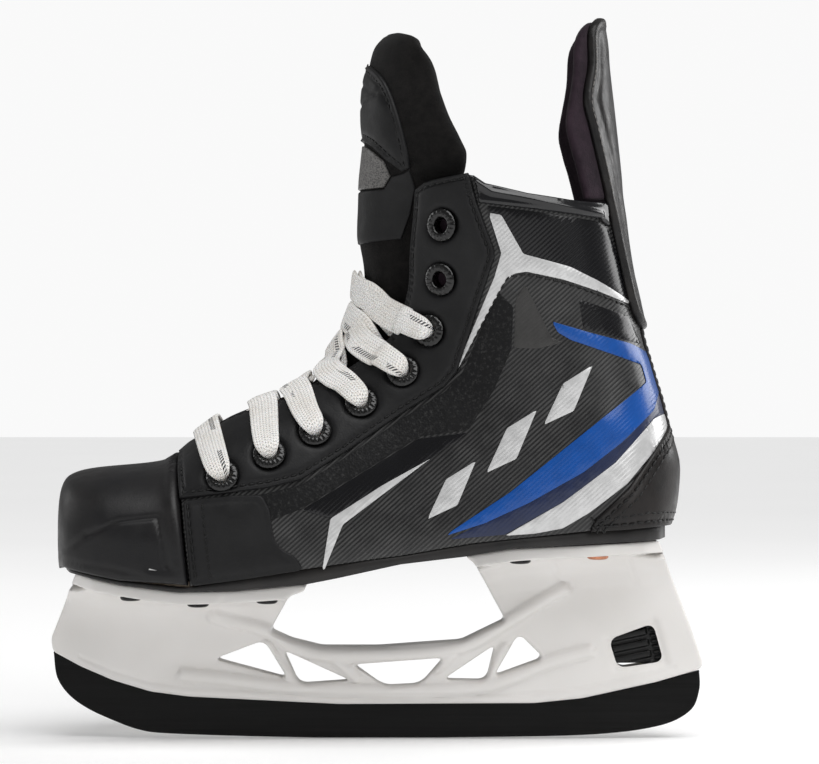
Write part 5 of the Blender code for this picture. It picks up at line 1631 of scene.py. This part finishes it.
def holder_place(xz):
    """Row and column of side-view places on the holder's side."""
    xz = np.asarray(xz, float)
    first, last = HOLDER_ENDS
    row = np.clip((xz[:, 0] - first) / (last - first) * (HOLDER_ROWS - 1), 0, HOLDER_ROWS - 1.001)
    low = row.astype(int)
    share = (row - low)[:, None]
    rows = holder_heights[low] * (1 - share) + holder_heights[low + 1] * share
    even = np.linspace(0, 1, HOLDER_COLUMNS)
    return np.stack([xz[:, 0], np.array([np.interp(z, r, even) for z, r in zip(xz[:, 1], rows)])], axis=1)


def holder_relief(places):
    """Raised rails and struts, sunk edges round the trigger's window, and shallow mould lines."""
    lift = np.zeros(len(places))
    for rail in RAILS:
        smooth = smooth_line(rail, 4)
        lift = np.maximum(lift, 1.7 * bar(places, smooth, 2.3) + 0.5 * near_line(places, smooth, 2.6))
    for strut in STRUTS:
        lift = np.maximum(lift, 1.2 * bar(places, strut, 1.8) + 0.3 * near_line(places, strut, 2.0))
    x, z = places[:, 0], places[:, 2]
    window = dense(TRIGGER_WINDOW, 1.0)
    away = np.sqrt(((places[:, None, [0, 2]] - window[None]) ** 2).sum(-1)).min(1)
    lift -= 1.0 * np.exp(-(away / 1.6) ** 2)
    lift -= 0.35 * near_line(places, [(55.5, 58.5), (58.5, 51), (63, 49)], 0.8) * (z < 58)
    lift -= 0.35 * near_line(places, [(80, 58.8), (83.5, 50)], 0.8) * (z < 58)
    lift -= 0.3 * near_line(places, [(-48, 46), (-52, 39.6)], 1.0)
    groove = near_line(places, [(x0, z0 + 3.0) for x0, z0 in HOLDER_FOOT], 0.6)
    return lift - 0.4 * groove * (np.abs(x) < 96)


def runner_top(x):
    """Height of the runner's hidden top edge."""
    return height_on(HOLDER_FOOT, x) + RUNNER_INSERT


def window_wall(x, z):
    """Inside of the rear tower behind a point of its window's rim: a flat box that holds the trigger."""
    left, right, low, high = TRIGGER_CAVITY
    centre = np.array([(left + right) / 2 - 1.5, (low + high) / 2])
    ray = np.array([x, z]) - centre
    limits = [(right if ray[0] > 0 else left) - centre[0], (high if ray[1] > 0 else low) - centre[1]]
    stretch = min(limit / part if abs(part) > 1e-6 else 1e9 for limit, part in zip(limits, ray))
    far_x, far_z = centre + ray * max(stretch, 1.0)
    half = 4.2
    return [(x, -half, z), (far_x, -half, far_z), (far_x, half, far_z), (x, half, z)]


def slot_wall(x, z):
    """Holder's inner wall at another rim's point: straight across, or round the runner's slot at its foot."""
    half = RUNNER_THICK / 2 + GAP
    on_foot = INSERT_ENDS[0] < x < INSERT_ENDS[1] and z < height_on(HOLDER_FOOT, x) + 0.8
    deepest = runner_top(x) + GAP if on_foot else z
    return [(x, -half, z), (x, -half, deepest), (x, half, deepest), (x, half, z)]


def make_holder():
    """Both sides of the holder, its rims closed through the windows and round the runner's slot."""
    outer = [(-104.5, 32.3), (-95.6, 53.9), (-80, 50.9), (-62.2, 48.7), (-44.2, 49.0), (-22.4, 50.8),
             (-22.3, 48.7), (-27.4, 47.0), (-34.2, 34.8), (-27.6, 31.9), (-17.7, 29.5), (0.6, 29.5),
             (27.1, 31.4), (41.2, 38.2), (31, 57.2), (28.7, 58.8), (28.7, 59.5), (42.8, 61.9), (88, 64.2),
             (89.8, 64.0), (100.6, 36.4), (104.8, 23.9)]
    outer += list(reversed(HOLDER_FOOT))
    rim, step = 0.9, 0.75
    openings = [grown(hole, 1.6) for hole in TRUSS_HOLES] + [TRIGGER_WINDOW]
    loops = [dense(rounded(outer, 0.8, 3), 0.7)] + [dense(rounded(hole, 1.5, 3), 0.6) for hole in openings]
    boundaries = [thin(side_sheet, holder_place(loop), 0.35) for loop in loops]
    planes = [side_sheet.to_plane(b) for b in boundaries]

    def solid(flat):
        keep = inside(flat, planes[0])
        for plane in planes[1:]:
            keep &= ~inside(flat, plane)
        return keep

    rings = list(boundaries)
    depth = [np.zeros(len(b)) for b in boundaries]
    for number, (boundary, plane) in enumerate(zip(boundaries, planes)):
        for share in EDGE_STEPS:
            ring = inset(side_sheet, boundary, rim * share * (1 if number == 0 else -1), plane)
            rings.append(ring[solid(side_sheet.to_plane(ring))])
            depth.append(np.full(len(rings[-1]), rim * share))
    inner = lattice(side_sheet, planes[0], step, solid)
    flat = np.concatenate(rings + [inner])
    deep = np.concatenate(depth + [np.full(len(inner), np.inf)])
    places = side_sheet.at(flat)[0]
    count = sum(len(b) for b in boundaries)
    reach = reach_from(places, count)
    keep = well_spaced(deep, reach, rim + step * 0.4)
    flat, places, reach = flat[keep], places[keep], np.minimum(deep, reach)[keep]
    triangles = triangulate(side_sheet.to_plane(flat), rim_edges(boundaries), solid)
    rise = rounded_rise(reach, rim)
    rise[:count] = 0
    near, normals = side_sheet.at(flat, holder_relief(places) * rise)
    near[:, 1] = np.minimum(near[:, 1] + rim * (1 - rise), -0.5)
    face_along(triangles, near, normals)
    points = [near, near * [1, -1, 1]]
    faces = triangles.tolist() + (triangles[:, ::-1] + len(near)).tolist()
    total, start = 2 * len(near), 0
    for number, boundary in enumerate(boundaries):
        count = len(boundary)
        profile = window_wall if number == len(boundaries) - 1 else slot_wall
        points.append(np.array([profile(x, z) for x, _, z in near[start:start + count]]).reshape(-1, 3))
        columns = [start + np.arange(count)] + [total + np.arange(count) * 4 + k for k in range(4)]
        columns.append(start + len(near) + np.arange(count))
        faces += quads(np.array(columns), closed=True)
        total += count * 4
        start += count
    holder = finish_mesh("holder_moulding", np.concatenate(points), faces, "holder_nylon", nodes=["holder"])
    mesh = holder.data
    bm = bmesh.new()
    bm.from_mesh(mesh)
    bmesh.ops.remove_doubles(bm, verts=bm.verts, dist=1e-6)
    bmesh.ops.recalc_face_normals(bm, faces=bm.faces)
    bm.to_mesh(mesh)
    bm.free()
    mesh.set_sharp_from_angle(angle=math.radians(50))


def make_rivets():
    """Domed rivet heads under the holder's flanges, with their shanks up to the outsole."""
    for number, (where, x, y) in enumerate(RIVETS):
        for word, side in SIDES.items():
            under = float(smooth_table(FLANGE, np.array([x]))[0][1]) - 0.4
            top = height_on(SOLE_TOP, x) - GAP
            row = number + 1 if where == "front" else number - 2
            name = f"rivet_{where}_{word}_{row}"
            head = ((0.01, 1.0), (1.6, 0.98), (2.6, 0.85), (3.1, 0.6), (RIVET_R, 0.25), (RIVET_R, -0.3),
                    (1.7, -0.3))
            profile = [(r, under - drop) for r, drop in head] + [(1.7, top), (0.01, top)]
            paint = "copper" if where == "rear" and row == 2 else "rivet_steel"
            lathe(name + "_head", profile, (x, side * y, 0), (0, 0, 1), paint, 32, nodes=[name],
                  slot="copper" if where == "rear" else "rivet_steel")


def make_runner():
    """Steel blade with bevelled edges."""
    flat = RUNNER_EDGE.index((20, 0.0))
    edge = smooth_line(RUNNER_EDGE[:flat], 8) + smooth_line(RUNNER_EDGE[flat:], 8)
    front, rear = INSERT_ENDS
    xs = [rear] + [x for x, _ in reversed(HOLDER_FOOT) if front < x < rear] + [front]
    outline = edge + [(x, height_on(HOLDER_FOOT, x) - GAP) for x in (95.9, rear)]
    outline += [(x, runner_top(x)) for x in xs] + [(front, height_on(HOLDER_FOOT, front) - GAP), (-104, 27.7)]
    half, bevel = RUNNER_THICK / 2, 0.25
    points = np.array(outline)
    along = np.roll(points, -1, axis=0) - np.roll(points, 1, axis=0)
    small = points - unit(np.stack([along[:, 1], -along[:, 0]], axis=1)) * bevel
    rings = [np.stack([p[:, 0], np.full(len(p), y), p[:, 1]], axis=1)
             for p, y in ((small, -half), (points, -half + bevel), (points, half - bevel), (small, half))]
    runner = skin("runner_blade", rings, "runner_steel", nodes=["runner"], body="runner")
    runner.data.set_sharp_from_angle(angle=math.radians(30))


def make_trigger():
    """The trigger's two ribbed side plates, seen through the tower's window; the front that joins them is not
    built.
    """
    slope = math.radians(12)
    half, wall_thick = 3.95, 1.1
    xs, zs = np.linspace(*TRIGGER_BODY[:2], 96), np.linspace(*TRIGGER_BODY[2:], 74)
    gx, gz = np.meshgrid(xs, zs, indexing="ij")
    along = (gx - 83) * math.cos(slope) + (gz - 30) * math.sin(slope)
    up = -(gx - 83) * math.sin(slope) + (gz - 30) * math.cos(slope)
    ridge = 0.9 / (1 + np.exp((np.abs((up + 1.8) % 3.6 - 1.8) - 1.05) / 0.12))
    ridge *= 1 / (1 + np.exp((along - 4.4) / 0.15)) * 1 / (1 + np.exp((-7.6 - along) / 0.15))
    teeth = 0.9 / (1 + np.exp((np.abs((up + 0.9) % 1.8 - 0.9) - 0.45) / 0.1))
    teeth /= 1 + np.exp((5.4 - along) / 0.15)
    height = half - 1.0 + np.maximum(ridge, teeth)
    rows, columns = gx.shape
    pieces, faces = [], []
    for side in (-1, 1):
        start = sum(len(p) for p in pieces)
        face = np.stack([gx, side * height, gz], axis=-1).reshape(-1, 3)
        depth = np.full_like(gx, side * (half - 1.0 - wall_thick * 0.4))
        back = np.stack([gx, depth, gz], axis=-1).reshape(-1, 3)
        pieces += [face, back]
        index = numbered(rows, columns, start)
        border = np.concatenate([index[:, 0], index[-1, 1:], index[-2::-1, -1], index[0, -2:0:-1]])
        made = quads(index.T) + quads(index + index.size)
        made += quads(np.array([border, border + index.size]), closed=True)
        faces += [face[::-side] for face in made]
    finish_mesh("release_trigger_pad", np.concatenate(pieces), faces, "trigger_nylon", body="release_trigger",
                nodes=["release_trigger"])
    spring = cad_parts["trigger_spring"]
    spring.data.materials.clear()
    spring.data.materials.append(paints["spring_steel"].material)


def main():
    make_studio()
    make_lace()
    make_toe_cap()
    make_uppers()
    make_prints()
    make_heel()
    make_back_strip()
    make_guard()
    make_tongue()
    make_soles()
    make_holder()
    make_rivets()
    make_runner()
    make_trigger()


main()
